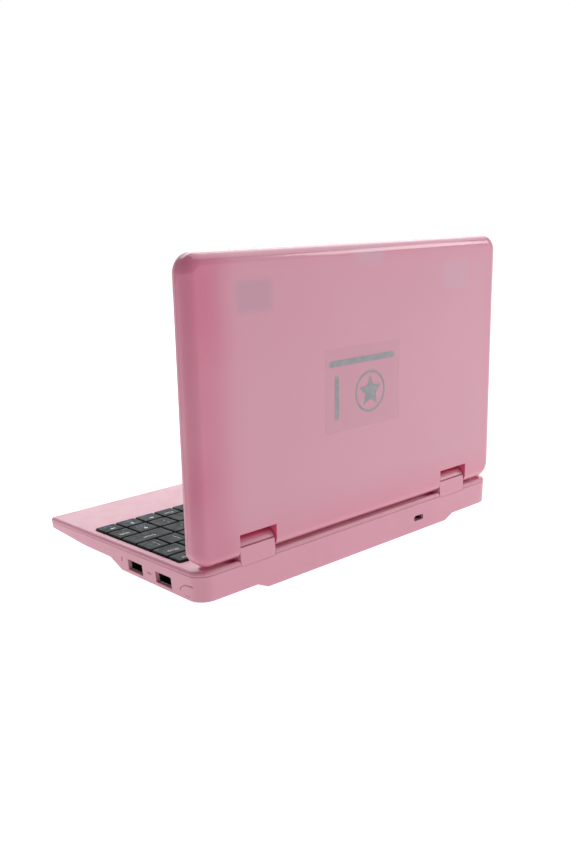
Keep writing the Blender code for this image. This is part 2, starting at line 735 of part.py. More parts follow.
def make_hinge(side):
    """A steel bracket in the base whose barrel grips a pin, and an arm in the lid that holds the pin."""
    word = side_name(side)
    low_x, high_x = across(side, *BARREL)
    floor = FLOOR + WALL + GAP
    half_web = 1.1 * MM
    bracket = rod(
        f"hinge_bracket_{word}", BARREL_RADIUS, (low_x, HINGE_Y, HINGE_Z), (high_x, HINGE_Y, HINGE_Z),
        BASE, "steel",
    )
    web = block(
        f"bracket web {word}", (low_x, HINGE_Y - half_web, floor + 0.2 * MM),
        (high_x, HINGE_Y + half_web, HINGE_Z - 2.2 * MM), BASE,
    )
    foot = block(
        f"bracket foot {word}", (low_x, HINGE_Y - 8 * MM, floor),
        (high_x, HINGE_Y + half_web, floor + 1.2 * MM), BASE,
    )
    bore = rod(
        f"bracket bore {word}", PIN_RADIUS + GAP, (low_x - FAR, HINGE_Y, HINGE_Z),
        (high_x + FAR, HINGE_Y, HINGE_Z), BASE, segments=20,
    )
    join(bracket, web, foot)
    cut(bracket, bore)

    start, end = PIN
    head, head_height = PIN_HEAD
    cap = end - start
    profile = [
        (0, cap), (head, cap), (head, cap - head_height),
        (PIN_RADIUS, cap - head_height), (PIN_RADIUS, 0), (0, 0),
    ]
    turn = (0, side * math.pi / 2, 0)
    lathe(f"hinge_pin_{word}", profile, (side * start, 0, 0), LID, "steel", turn=turn)

    low_x, high_x = across(side, *ARM)
    plate = block(
        f"hinge_arm_{word}", (low_x, -30 * MM, 3.1 * MM), (high_x, -1.2 * MM, 4.1 * MM), LID, "steel"
    )
    low_x, high_x = across(side, ARM[1] - EAR_THICK, ARM[1])
    ear = block(f"arm ear {word}", (low_x, -5 * MM, COVER_EDGE), (high_x, -1.6 * MM, 3.6 * MM), LID)
    lug = block(f"arm lug {word}", (low_x, -4 * MM, COVER_EDGE), (high_x, 0.9 * MM, 2.7 * MM), LID)
    join(plate, ear, lug)


# ---------------------------------------------------------------- lid


def notch_cutter(name, side, wall, depth=NOTCH_DEPTH):
    """The space that a knuckle needs in the lid's rear edge, or that space and the wall around it."""
    low_x, high_x = across(side, NOTCH[0] - wall, NOTCH[1] + wall)
    return block(
        f"{name} {side_name(side)}", (low_x, LID_REAR - depth - wall, -FAR),
        (high_x, LID_REAR + FAR, FAR), LID,
    )


def make_back_cover():
    half = WIDTH / 2
    cover = block(
        "lid_back_cover", (-half, LID_FRONT, COVER_EDGE), (half, LID_REAR, LID_OUTER), LID, "pink_gloss",
        corners=(LID_CORNER, LID_CORNER), rim=LID_ROUND, rim_steps=5,
    )
    hollow = block(
        "cover hollow", (-half + WALL, LID_FRONT + WALL, -FAR),
        (half - WALL, LID_REAR - WALL, LID_OUTER - WALL), LID,
        corners=(LID_CORNER - WALL, LID_CORNER - WALL), rim=LID_ROUND - WALL, rim_steps=4,
    )
    for side in (-1, 1):
        cut(hollow, notch_cutter("notch wall", side, WALL))
    cut(cover, hollow)
    for side in (-1, 1):
        inner = side * NOTCH[0]
        cut(cover, notch_cutter("cover notch", side, 0))
        cut(cover, rod(
            f"cover pin hole {side_name(side)}", PIN_RADIUS + 2 * GAP, (inner - side * (WALL + MM), 0, 0),
            (inner + side * MM, 0, 0), LID, segments=20,
        ))


def make_bezel():
    half = WIDTH / 2
    bezel = block(
        "lid_bezel", (-half, LID_FRONT, LID_INNER), (half, LID_REAR, BEZEL_BACK), LID, "pink",
        corners=(LID_CORNER, LID_CORNER),
    )
    half_x, half_y = SCREEN[0] / 2 + 0.6 * MM, SCREEN[1] / 2 + 0.6 * MM
    window = block(
        "screen opening", (-half_x, SCREEN_Y - half_y, LID_INNER - FAR),
        (half_x, SCREEN_Y + half_y, BEZEL_BACK + FAR), LID,
    )
    camera_hole = rod(
        "camera hole", CAMERA_LENS + 0.4 * MM, (0, CAMERA_Y, -FAR), (0, CAMERA_Y, FAR), LID
    )
    cut(bezel, window, camera_hole)
    for side in (-1, 1):
        cut(bezel, notch_cutter("bezel notch", side, 0, BEZEL_NOTCH_DEPTH))
        cut_speaker_slots(bezel, side)
        make_bumper(bezel, side)


def cut_speaker_slots(bezel, side):
    low_x, high_x = across(side, *SPEAKER_SLOTS)
    width, step = SPEAKER_SLOT
    for i in range(5):
        y = SCREEN_Y + (i - 2) * step
        cut(bezel, block(
            f"speaker slot {side_name(side)} {i}", (low_x, y - width / 2, LID_INNER - FAR),
            (high_x, y + width / 2, BEZEL_BACK + MM), LID,
        ))


def make_bumper(bezel, side):
    """A small rubber disc that keeps the closed lid off the deck."""
    word = side_name(side)
    x, y = side * BUMPER[0], BUMPER[1]
    radius = BUMPER_RADIUS
    seat = LID_INNER + 0.8 * MM
    cut(bezel, rod(
        f"bumper seat {word}", radius + GAP, (x, y, LID_INNER - FAR), (x, y, seat), LID, segments=20
    ))
    top, bottom = seat - GAP, LID_INNER - 0.9 * MM
    profile = [
        (0, top), (radius, top), (radius, bottom + 0.3 * MM), (radius - 0.3 * MM, bottom), (0, bottom),
    ]
    lathe(f"lid_bumper_{word}", profile, (x, y, 0), LID, "rubber", steps=16)


def make_lid_inner_parts():
    """The display, its window, and the small units fixed around it."""
    width, height, thick = PANEL
    back = COVER_EDGE
    block(
        "lcd_panel", (-width / 2, SCREEN_Y - height / 2, back),
        (width / 2, SCREEN_Y + height / 2, back + thick), LID, "steel",
    )
    half_x, half_y = SCREEN[0] / 2, SCREEN[1] / 2
    block(
        "screen_window", (-half_x, SCREEN_Y - half_y, BEZEL_BACK - 0.6 * MM),
        (half_x, SCREEN_Y + half_y, BEZEL_BACK), LID, "glass",
    )
    width, height, thick = CAMERA_SIZE
    camera = block(
        "webcam", (-width / 2, CAMERA_Y - height / 2, back),
        (width / 2, CAMERA_Y + height / 2, back + thick), LID, "black",
    )
    join(camera, rod(
        "camera lens", CAMERA_LENS, (0, CAMERA_Y, LID_INNER + GAP), (0, CAMERA_Y, 0), LID
    ))
    length, thick = SPEAKER_SIZE
    for side in (-1, 1):
        word = side_name(side)
        low_x, high_x = across(side, *SPEAKER)
        block(
            f"speaker_{word}", (low_x, SCREEN_Y - length / 2, back),
            (high_x, SCREEN_Y + length / 2, back + thick), LID, "black", corners=(3 * MM, 3 * MM),
        )
        low_x, high_x = across(side, *ANTENNA)
        block(
            f"antenna_{word}", (low_x, ANTENNA_Y[0], ANTENNA_Z[0]),
            (high_x, ANTENNA_Y[1], ANTENNA_Z[1]), LID, "gold",
        )


def main():
    bottom_case = make_bottom_case()
    top_case = make_top_case()
    make_feet(bottom_case)
    make_hatch(bottom_case)
    for word, y in zip(("front", "rear"), USB_Y):
        make_usb_socket(bottom_case, f"usb_socket_{word}", y)
    make_left_ports(bottom_case)
    make_lock_slot(bottom_case)
    make_inner_parts()
    make_keyboard(top_case)
    make_touchpad(top_case)
    make_deck_controls(top_case)
    make_back_cover()
    make_bezel()
    make_lid_inner_parts()
    for side in (-1, 1):
        make_hinge(side)


clear_scene()
PARTS = new_collection("toy_laptop")
CUTTERS = new_collection("cutters")
BASE = new_empty("base frame", (0, CENTRE_Y, 0))
DECK = new_empty("deck frame", (0, 0, DECK_MIDDLE), BASE, DECK_SLOPE)
LID = new_empty("lid hinge", (0, HINGE_Y, HINGE_Z), BASE, -math.pi / 2 - LID_LEAN)
main()
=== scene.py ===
"""The looks of the small pink toy laptop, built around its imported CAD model.

Metres, +Z up, in the CAD model's frame. The user sits on the -Y side and +X is the user's right. The
shells, keys, sockets and trim are made again here with finer edges and more detail than the CAD has, in
the same three frames: the base, its sloping deck, and the lid, which is drawn closed and flat.
"""

import math

import bmesh
import bpy
from mathutils import Matrix, Vector


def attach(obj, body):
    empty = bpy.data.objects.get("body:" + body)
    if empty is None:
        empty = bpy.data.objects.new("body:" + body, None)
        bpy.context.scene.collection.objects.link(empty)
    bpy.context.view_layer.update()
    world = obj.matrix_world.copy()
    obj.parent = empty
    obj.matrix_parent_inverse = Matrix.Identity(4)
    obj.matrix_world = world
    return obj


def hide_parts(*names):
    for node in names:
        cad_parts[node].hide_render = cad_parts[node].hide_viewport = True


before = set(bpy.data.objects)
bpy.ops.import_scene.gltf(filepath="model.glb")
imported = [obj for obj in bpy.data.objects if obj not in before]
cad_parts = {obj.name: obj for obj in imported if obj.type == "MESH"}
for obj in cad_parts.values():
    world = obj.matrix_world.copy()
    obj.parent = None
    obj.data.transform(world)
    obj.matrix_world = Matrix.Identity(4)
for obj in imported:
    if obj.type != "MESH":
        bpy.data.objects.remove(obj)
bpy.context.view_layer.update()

MM = 0.001
GAP = 0.3 * MM
SEAM = 0.18 * MM  # the fine line between two shells that are screwed together
FAR = 12 * MM  # how far a cutter runs on past what it cuts

# Base
WIDTH = 213 * MM
DEPTH = 146 * MM
FRONT_CORNER = 2.2 * MM
REAR_CORNER = 8.3 * MM
WALL = 1.8 * MM
DRAFT = 0.8 * MM
DECK_MIDDLE = 17.25 * MM
DECK_SLOPE = math.radians(0.746)
DECK_THICK = 2.15 * MM
DECK_RIM = 1.7 * MM
CASE_TOP = -DECK_THICK - SEAM
FLOOR = 3.6 * MM
WEDGE_LIP = 10.9 * MM
WEDGE_BELLY = 8.1 * MM
WEDGE_BELLY_Y = -34 * MM
STEP_TOP_Y = -7 * MM
STEP_FOOT_Y = 3.4 * MM
KEEL = 0.6 * MM
KEEL_HALF = 66 * MM
KEEL_FRONT_Y = 49 * MM
KEEL_SPREAD = 2.17
FEET = {"front": (96 * MM, 9 * MM, FLOOR, 4.5 * MM), "rear": (58 * MM, 64 * MM, KEEL, 5 * MM)}

# Hinge
HINGE_Y = 67.6 * MM
HINGE_Z = 22.8 * MM
KNUCKLE = (61 * MM, 82 * MM)
KNUCKLE_RADIUS = 5.4 * MM
KNUCKLE_WALL = 1.6 * MM
TAB_TOP = 24.3 * MM
TROUGH_RADIUS = 6 * MM
TROUGH_HALF = 98.3 * MM
PIN_RADIUS = 1.25 * MM

# Lid
LID_LEAN = math.radians(3.2)
LID_HEIGHT = 141.3 * MM
LID_REAR = 3.6 * MM
LID_FRONT = LID_REAR - LID_HEIGHT
LID_OUTER = 6.27 * MM
LID_INNER = -3.33 * MM
BEZEL_THICK = 1.6 * MM
BEZEL_BACK = LID_INNER + BEZEL_THICK
COVER_EDGE = BEZEL_BACK + GAP
COVER_RIM = BEZEL_BACK + 0.06 * MM
LID_CORNER = 9 * MM
LID_ROUND = 5.5 * MM
NOTCH = (60.5 * MM, 82.5 * MM)
NOTCH_DEPTH = 12.2 * MM
BEZEL_NOTCH_DEPTH = 9.4 * MM
SCREEN = (152.4 * MM, 91.4 * MM)
SCREEN_Y = -68.4 * MM

# Keyboard
KEY_FIELD = (204.8 * MM, -29.0 * MM)
KEY_TOP = 0.9 * MM
KEY_FOOT = -1.4 * MM
KEY_SPACE = 0.8 * MM
KEY_TAPER = (0.3 * MM, 0.4 * MM)
KEY_DISH = 0.12 * MM
SMALL = 12.2 * MM

# Ports
USB_Y = (17.4 * MM, 42.7 * MM)
USB_Z = 8.3 * MM
USB_SIZE = (13.8 * MM, 12.8 * MM, 5.0 * MM)
USB_INSET = 1.9 * MM
LOCK_SLOT = (-43 * MM, 7.9 * MM, 7.5 * MM, 3.0 * MM)

LID_BACK = (
    HINGE_Y
    + (-LID_FRONT - LID_ROUND) * math.sin(LID_LEAN)
    + (LID_OUTER - LID_ROUND) * math.cos(LID_LEAN)
    + LID_ROUND
)
CENTRE_Y = (DEPTH / 2 - LID_BACK) / 2

BASE = Matrix.Translation((0, CENTRE_Y, 0))
DECK = BASE @ Matrix.Translation((0, 0, DECK_MIDDLE)) @ Matrix.Rotation(DECK_SLOPE, 4, "X")
LID = BASE @ Matrix.Translation((0, HINGE_Y, HINGE_Z)) @ Matrix.Rotation(-math.pi / 2 - LID_LEAN, 4, "X")


# ---------------------------------------------------------------- materials


class Look:
    """A Principled material whose detail comes from small node chains in object space."""

    def __init__(self, name, colour, roughness, **sockets):
        self.material = bpy.data.materials.new(name)
        self.material.use_nodes = True
        self.tree = self.material.node_tree
        self.shader = self.tree.nodes["Principled BSDF"]
        self.colour = colour
        self.roughness = roughness
        self.shader.inputs["Base Color"].default_value = (*colour, 1)
        self.shader.inputs["Roughness"].default_value = roughness
        for socket, value in sockets.items():
            self.shader.inputs[socket.replace("_", " ")].default_value = value
        self.place = self.node("ShaderNodeTexCoord").outputs["Object"]
        self.tint = None
        self.normal = None

    def node(self, kind, **settings):
        made = self.tree.nodes.new(kind)
        for setting, value in settings.items():
            setattr(made, setting, value)
        return made

    def link(self, start, end):
        self.tree.links.new(start, end)

    def math(self, operation, first, second=None, clamp=False):
        made = self.node("ShaderNodeMath", operation=operation, use_clamp=clamp)
        for socket, value in zip(made.inputs, (first, second)):
            if value is None:
                continue
            if isinstance(value, (int, float)):
                socket.default_value = value
            else:
                self.link(value, socket)
        return made.outputs[0]

    def noise(self, size, detail=3.0, rough=0.5, stretch=None, distortion=0.0):
        """Noise whose features measure about size metres, 0 to 1 around 0.5."""
        place = self.place
        if stretch:
            mapping = self.node("ShaderNodeMapping")
            mapping.inputs["Scale"].default_value = stretch
            self.link(place, mapping.inputs["Vector"])
            place = mapping.outputs["Vector"]
        made = self.node("ShaderNodeTexNoise")
        made.inputs["Scale"].default_value = 1 / size
        made.inputs["Detail"].default_value = detail
        made.inputs["Roughness"].default_value = rough
        made.inputs["Distortion"].default_value = distortion
        self.link(place, made.inputs["Vector"])
        return made.outputs["Fac"]

    def between(self, value, low, high, from_low=0.3, from_high=0.7, kind="SMOOTHSTEP"):
        made = self.node("ShaderNodeMapRange", interpolation_type=kind)
        for name, number in (
            ("From Min", from_low), ("From Max", from_high), ("To Min", low), ("To Max", high)
        ):
            made.inputs[name].default_value = number
        self.link(value, made.inputs["Value"])
        return made.outputs["Result"]

    def along(self, axis):
        """The object's own X, Y or Z, in metres."""
        split = self.node("ShaderNodeSeparateXYZ")
        self.link(self.place, split.inputs["Vector"])
        return split.outputs[axis]

    def soft_box(self, centre, half, edge):
        """1 inside a box around centre, in the object's X and Y, falling to 0 over the width of edge."""
        sides = []
        for axis in (0, 1):
            away = self.math("ABSOLUTE", self.math("SUBTRACT", self.along(axis), centre[axis]))
            sides.append(
                self.between(away, 1.0, 0.0, half[axis] - edge / 2, half[axis] + edge / 2)
            )
        return self.math("MULTIPLY", sides[0], sides[1])

    def near_line(self, y, z, radius, edge):
        """1 closer than radius to the line along X at y and z, falling to 0 over the width of edge."""
        squares = [
            self.math("POWER", self.math("SUBTRACT", self.along(axis), middle), 2.0)
            for axis, middle in ((1, y), (2, z))
        ]
        away = self.math("SQRT", self.math("ADD", *squares))
        return self.between(away, 1.0, 0.0, radius - edge / 2, radius + edge / 2)

    def notch_mask(self, side):
        """1 on the walls of one hinge notch in the lid."""
        middle, half = side * (NOTCH[0] + NOTCH[1]) / 2, (NOTCH[1] - NOTCH[0]) / 2
        return self.soft_box((middle, LID_REAR - NOTCH_DEPTH / 2), (half + 0.1 * MM, NOTCH_DEPTH / 2 + 0.1 * MM), 0.1 * MM)

    def paint(self, mask, colour):
        """Lays colour over what is there, where mask is 1."""
        mix = self.node("ShaderNodeMix", data_type="RGBA")
        self.link(mask, mix.inputs["Factor"])
        colours = [socket for socket in mix.inputs if socket.type == "RGBA"]
        if self.tint is None:
            colours[0].default_value = (*self.colour, 1)
        else:
            self.link(self.tint, colours[0])
        colours[1].default_value = (*colour, 1)
        self.tint = [socket for socket in mix.outputs if socket.type == "RGBA"][0]
        self.link(self.tint, self.shader.inputs["Base Color"])
        return self

    def mottle(self, size, amount, detail=3.0, stretch=None):
        """The colour drifts a little lighter and darker."""
        darker = tuple(c * (1 - amount) for c in self.colour)
        return self.paint(self.between(self.noise(size, detail, stretch=stretch), 0.0, 1.0), darker)

    def worn(self, size, low, high, detail=4.0, stretch=None):
        """Roughness that wanders from low to high."""
        value = self.between(self.noise(size, detail, 0.6, stretch), low, high)
        self.link(value, self.shader.inputs["Roughness"])
        return self

    def bump(self, height, depth, strength=1.0):
        made = self.node("ShaderNodeBump")
        made.inputs["Strength"].default_value = strength
        made.inputs["Distance"].default_value = depth
        self.link(height, made.inputs["Height"])
        if self.normal:
            self.link(self.normal, made.inputs["Normal"])
        self.normal = made.outputs["Normal"]
        self.link(self.normal, self.shader.inputs["Normal"])
        return self

    def grain(self, size, depth, strength=0.5, stretch=None):
        return self.bump(self.noise(size, 2.0, stretch=stretch), depth, strength)


def make_looks():
    looks = {}

    shell = Look("pink_shell_plastic", SHELL_PINK, 0.38, Coat_Weight=0.12, Coat_Roughness=0.25)
    shell.mottle(34 * MM, 0.035).worn(9 * MM, 0.33, 0.44).grain(0.22 * MM, 0.012 * MM, 0.35)
    looks["shell"] = shell.grain(14 * MM, 0.05 * MM, 0.25)

    deck = Look("pink_deck_plastic", SHELL_PINK, 0.38, Coat_Roughness=0.25)
    deck.mottle(34 * MM, 0.035).worn(9 * MM, 0.33, 0.44).grain(0.22 * MM, 0.012 * MM, 0.35)
    # Painted shade: a deep saturated pink, with less coat and specular, where the hinge trough lies in shadow
    # between the lid and the base.
    trough = deck.near_line(HINGE_Y, 4.67 * MM, TROUGH_RADIUS + 0.5 * MM, 0.4 * MM)
    trough = deck.math("MULTIPLY", trough, deck.between(deck.along(2), 1.0, 0.0, -0.5 * MM, -0.02 * MM))
    trough = deck.math("MULTIPLY", trough, deck.soft_box((0, HINGE_Y), (TROUGH_HALF + 4.2 * MM, 9 * MM), 0.4 * MM))
    # Painted shade on the knuckle tops, where they lie in shadow under the lid's notches.
    knuckle_top_shade = deck.near_line(HINGE_Y, 4.67 * MM, 5.9 * MM, 0.4 * MM)
    knuckle_top_shade = deck.math("MULTIPLY", knuckle_top_shade, deck.between(deck.along(2), 0.0, 0.7, 8.9 * MM, 9.8 * MM))
    trough = deck.math("MAXIMUM", trough, knuckle_top_shade)
    deck.paint(trough, PAINTED_SHADE_PINK)
    deck.link(deck.between(trough, 0.12, 0.0, 0, 1), deck.shader.inputs["Coat Weight"])
    deck.link(deck.between(trough, 0.5, 0.1, 0, 1), deck.shader.inputs["Specular IOR Level"])
    looks["deck"] = deck.grain(14 * MM, 0.05 * MM, 0.25)

    bezel = Look("pink_bezel_plastic", SHELL_PINK, 0.36, Coat_Weight=0.12, Coat_Roughness=0.25)
    bezel.mottle(30 * MM, 0.035).worn(8 * MM, 0.31, 0.42).grain(0.22 * MM, 0.012 * MM, 0.35)
    # Painted shade on the bezel's back face where it shows through the hinge notches.
    for side in (-1, 1):
        behind = bezel.between(bezel.along(2), 0.0, 1.0, BEZEL_BACK - 0.3 * MM, BEZEL_BACK - 0.05 * MM)
        bezel.paint(bezel.math("MULTIPLY", behind, bezel.notch_mask(side)), PAINTED_SHADE_PINK)
    looks["bezel"] = bezel.grain(16 * MM, 0.05 * MM, 0.25)

    lid = Look(
        "pink_glossy_lid", LID_PINK, 0.3, Coat_Weight=0.55, Coat_Roughness=0.06, IOR=1.46
    )
    middle = (0, SCREEN_Y)
    # Painted shade: a darker, deeper pink band down the lid's +X side, where less light falls.
    lid.paint(lid.soft_box((106 * MM, SCREEN_Y), (22 * MM, 75 * MM), 16 * MM), LID_PAINTED_SHADE_SIDE)
    lid.paint(lid.soft_box((-9 * MM, SCREEN_Y - 4 * MM), (95 * MM, 62 * MM), 26 * MM), LID_OVER_PANEL)
    lid.paint(lid.between(lid.noise(60 * MM, 2.0), 0.0, 0.35), LID_HAZE)
    for x, y, half_x, half_y, edge, colour in (
        (70 * MM, -117.5 * MM, 10 * MM, 7 * MM, 6 * MM, LID_PATCH),
        (-70 * MM, -117.5 * MM, 10 * MM, 7 * MM, 6 * MM, LID_PATCH_PALE),
        (-3 * MM, -131.5 * MM, 10 * MM, 4 * MM, 7 * MM, LID_PATCH_PALE),
    ):
        lid.paint(
            lid.math("MULTIPLY", lid.soft_box((x, y), (half_x, half_y), edge), 0.8), colour
        )
    # Painted shade on the walls of the hinge notches.
    for side in (-1, 1):
        lid.paint(lid.notch_mask(side), PAINTED_SHADE_PINK)
    lid.worn(40 * MM, 0.28, 0.33, detail=1.0).grain(22 * MM, 0.05 * MM, 0.15)
    looks["lid"] = lid

    keys = Look("key_charcoal", (0.018, 0.026, 0.029), 0.55, Specular_IOR_Level=0.11)
    keys.mottle(6 * MM, 0.2).worn(3 * MM, 0.44, 0.6).grain(0.16 * MM, 0.02 * MM, 0.5)
    looks["keys"] = keys
    for name, colour in (("legend_white", (0.78, 0.80, 0.82)), ("legend_blue", (0.06, 0.16, 0.62))):
        print_ = Look(name, colour, 0.5)
        looks[name] = print_.mottle(1.2 * MM, 0.12).grain(0.1 * MM, 0.01 * MM, 0.3)

    black = Look("black_plastic", (0.018, 0.018, 0.02), 0.45)
    black.mottle(4 * MM, 0.3).worn(2 * MM, 0.38, 0.55)
    looks["black"] = black.grain(0.2 * MM, 0.02 * MM, 0.5)

    # Near black: the tongue's own black, and painted shade on the sleeve inside the sockets where their inside lies
    # in shadow.
    socket = Look("socket_black_and_painted_shade", (0.006, 0.004, 0.004), 0.75, Specular_IOR_Level=0.12)
    looks["tongue_black_and_sleeve_shade"] = socket.mottle(2 * MM, 0.4).worn(1.5 * MM, 0.6, 0.9)

    rubber = Look("black_rubber", (0.022, 0.021, 0.022), 0.8, Specular_IOR_Level=0.35)
    rubber.mottle(1.5 * MM, 0.3).worn(1.2 * MM, 0.7, 0.92)
    looks["rubber"] = rubber.grain(0.25 * MM, 0.06 * MM, 0.7)

    steel = Look("plated_steel", (0.60, 0.60, 0.585), 0.3, Metallic=1.0)
    steel.mottle(5 * MM, 0.12).worn(1.2 * MM, 0.22, 0.4, stretch=(0.15, 1, 1))
    looks["steel"] = steel.grain(0.12 * MM, 0.01 * MM, 0.5, stretch=(0.05, 1, 1))

    plate = Look("gold_plated_sheet", (0.82, 0.70, 0.54), 0.3, Metallic=1.0)
    plate.mottle(3 * MM, 0.18).worn(1.0 * MM, 0.2, 0.38)
    looks["plate"] = plate.grain(0.15 * MM, 0.01 * MM, 0.4)

    foil = Look("brass_foil", (0.80, 0.56, 0.24), 0.35, Metallic=1.0)
    foil.mottle(2 * MM, 0.2).worn(2 * MM, 0.25, 0.5).grain(1.2 * MM, 0.1 * MM, 0.5)
    looks["foil"] = foil

    silver = Look("silver_paint", (0.55, 0.55, 0.57), 0.35, Metallic=0.8)
    silver.mottle(2 * MM, 0.1).worn(1.5 * MM, 0.3, 0.42)
    looks["silver"] = silver.grain(0.1 * MM, 0.015 * MM, 0.6)

    board = Look("solder_mask", (0.012, 0.11, 0.045), 0.35, Coat_Weight=0.3)
    track = board.node("ShaderNodeTexBrick", offset=0.37, squash=1.6, squash_frequency=3)
    track.inputs["Scale"].default_value = 230
    track.inputs["Mortar Size"].default_value = 0.08
    board.link(board.place, track.inputs["Vector"])
    board.paint(track.outputs["Fac"], (0.03, 0.24, 0.10)).worn(3 * MM, 0.3, 0.45)
    looks["board"] = board.bump(track.outputs["Fac"], 0.03 * MM, 0.5)

    pouch = Look("battery_wrap", (0.03, 0.055, 0.17), 0.35, Metallic=0.3)
    pouch.mottle(9 * MM, 0.35).worn(4 * MM, 0.25, 0.5)
    looks["pouch"] = pouch.grain(3 * MM, 0.25 * MM, 0.5)

    panel = Look("display_back", (0.42, 0.43, 0.45), 0.4, Metallic=0.9)
    panel.mottle(8 * MM, 0.12).worn(3 * MM, 0.3, 0.5)
    looks["panel"] = panel.grain(0.3 * MM, 0.02 * MM, 0.5)

    glass = Look("screen_glass", (0.006, 0.006, 0.008), 0.18, Coat_Weight=0.35, Coat_Roughness=0.08)
    glass.paint(
        glass.soft_box(middle, (SCREEN[0] / 2 - 2 * MM, SCREEN[1] / 2 - 2 * MM), 0.2 * MM),
        (0.017, 0.019, 0.024),
    )
    looks["glass"] = glass.worn(14 * MM, 0.14, 0.24).grain(0.12 * MM, 0.004 * MM, 0.3)

    lens = Look(
        "milky_light_bar", (0.72, 0.78, 0.82), 0.25, Transmission_Weight=0.25, Coat_Weight=0.4
    )
    for i in range(4):
        spot = lens.soft_box(((73 + 4.6 * i) * MM, 58.4 * MM), (1.0 * MM, 0.45 * MM), 0.8 * MM)
        lens.paint(lens.math("MULTIPLY", spot, 0.85), (0.25, 0.42, 0.62) if i else (0.2, 0.6, 0.25))
    looks["lens"] = lens.worn(1.5 * MM, 0.2, 0.32)

    eye = Look("camera_glass", (0.004, 0.004, 0.008), 0.05, Coat_Weight=1.0)
    looks["eye"] = eye.paint(
        eye.between(eye.noise(1.5 * MM), 0.0, 0.6), (0.015, 0.008, 0.03)
    ).worn(1 * MM, 0.03, 0.09)

    print_grey = Look("grey_print", (0.31, 0.315, 0.335), 0.42, Coat_Weight=0.3)
    looks["print"] = print_grey.mottle(2.5 * MM, 0.16).worn(2 * MM, 0.36, 0.5)

    film = Look(
        "clear_sticker", (0.80, 0.52, 0.60), 0.25, Alpha=0.08, Coat_Weight=0.3
    )
    looks["film"] = film.mottle(20 * MM, 0.05).worn(6 * MM, 0.18, 0.3)

    cloth = Look("speaker_cloth", (0.02, 0.02, 0.022), 0.8)
    weave = cloth.node("ShaderNodeTexChecker")
    weave.inputs["Scale"].default_value = 2600
    cloth.link(cloth.place, weave.inputs["Vector"])
    cloth.paint(weave.outputs["Fac"], (0.05, 0.05, 0.055))
    looks["cloth"] = cloth.bump(weave.outputs["Fac"], 0.05 * MM, 0.6)
    return looks


SHELL_PINK = (0.70, 0.31, 0.40)
# Painted shade: the deep pink of the hinge trough, the knuckle tops and the hinge notches where they lie in shadow.
PAINTED_SHADE_PINK = (0.72, 0.12, 0.24)
# Painted shade for the lid's darker +X side.
LID_PINK = (0.66, 0.23, 0.325)
LID_PAINTED_SHADE_SIDE = (0.58, 0.14, 0.24)
LID_OVER_PANEL = (0.63, 0.285, 0.37)
LID_HAZE = (0.65, 0.305, 0.39)
LID_PATCH = (0.50, 0.265, 0.345)
LID_PATCH_PALE = (0.59, 0.32, 0.41)
LOOKS = make_looks()


# ---------------------------------------------------------------- shapes


def add(name, bm, at, look=None):
    """A new object whose mesh is drawn in the frame at. One with no look is a helper for a Boolean."""
    bmesh.ops.recalc_face_normals(bm, faces=bm.faces)
    mesh = bpy.data.meshes.new(name)
    bm.to_mesh(mesh)
    bm.free()
    obj = bpy.data.objects.new(name, mesh)
    obj.matrix_world = at
    bpy.context.scene.collection.objects.link(obj)
    if look:
        mesh.materials.append(LOOKS[look].material)
    else:
        obj.hide_render = True
        HELPERS.append(obj)
    return obj


HELPERS = []


def bevel(bm, edges, radius, steps):
    bmesh.ops.bevel(
        bm, geom=edges, offset=radius, segments=steps, profile=0.5, affect="EDGES"
    )


def upright_edges(bm, side):
    found = []
    for edge in bm.edges:
        along = edge.verts[0].co - edge.verts[1].co
        if abs(along.z) > 0.5 * along.length and edge.verts[0].co.y * side > 0:
            found.append(edge)
    return found


def level_edges(bm, side):
    """The edges of the top face (side 1) or the bottom face (side -1)."""
    limit = max(vert.co.z * side for vert in bm.verts) - 1e-6
    return [edge for edge in bm.edges if all(vert.co.z * side > limit for vert in edge.verts)]


def block(
    name, low, high, at, look=None, corners=(0, 0), steps=14,
    rim=0, rim_steps=7, sole=0, taper=(0, 0), foot=(0, 0),
):
    """A box between two corner points. Its upright edges at the front and the rear, its top edge (rim) and
    its bottom edge (sole) can be rounded, and its top or its foot can be drawn in along X and Y."""
    low, high = Vector(low), Vector(high)
    size = high - low
    bm = bmesh.new()
    bmesh.ops.create_cube(bm, size=1.0, matrix=Matrix.Diagonal((*size, 1)))
    for side, radius in zip((-1, 1), corners):
        if radius:
            bevel(bm, upright_edges(bm, side), radius, steps)
    for vert in bm.verts:
        drawn = taper if vert.co.z > 0 else foot
        vert.co.x *= 1 - 2 * drawn[0] / size.x
        vert.co.y *= 1 - 2 * drawn[1] / size.y
    if rim:
        bevel(bm, level_edges(bm, 1), rim, rim_steps)
    if sole:
        bevel(bm, level_edges(bm, -1), sole, 3)
    bmesh.ops.translate(bm, verts=bm.verts, vec=(low + high) / 2)
    return add(name, bm, at, look)


def rod(name, radius, start, end, at, look=None, steps=40):
    start, end = Vector(start), Vector(end)
    turn = (end - start).to_track_quat("Z", "Y").to_matrix().to_4x4()
    bm = bmesh.new()
    bmesh.ops.create_cone(
        bm, cap_ends=True, segments=steps, radius1=radius, radius2=radius,
        depth=(end - start).length, matrix=Matrix.Translation((start + end) / 2) @ turn,
    )
    return add(name, bm, at, look)


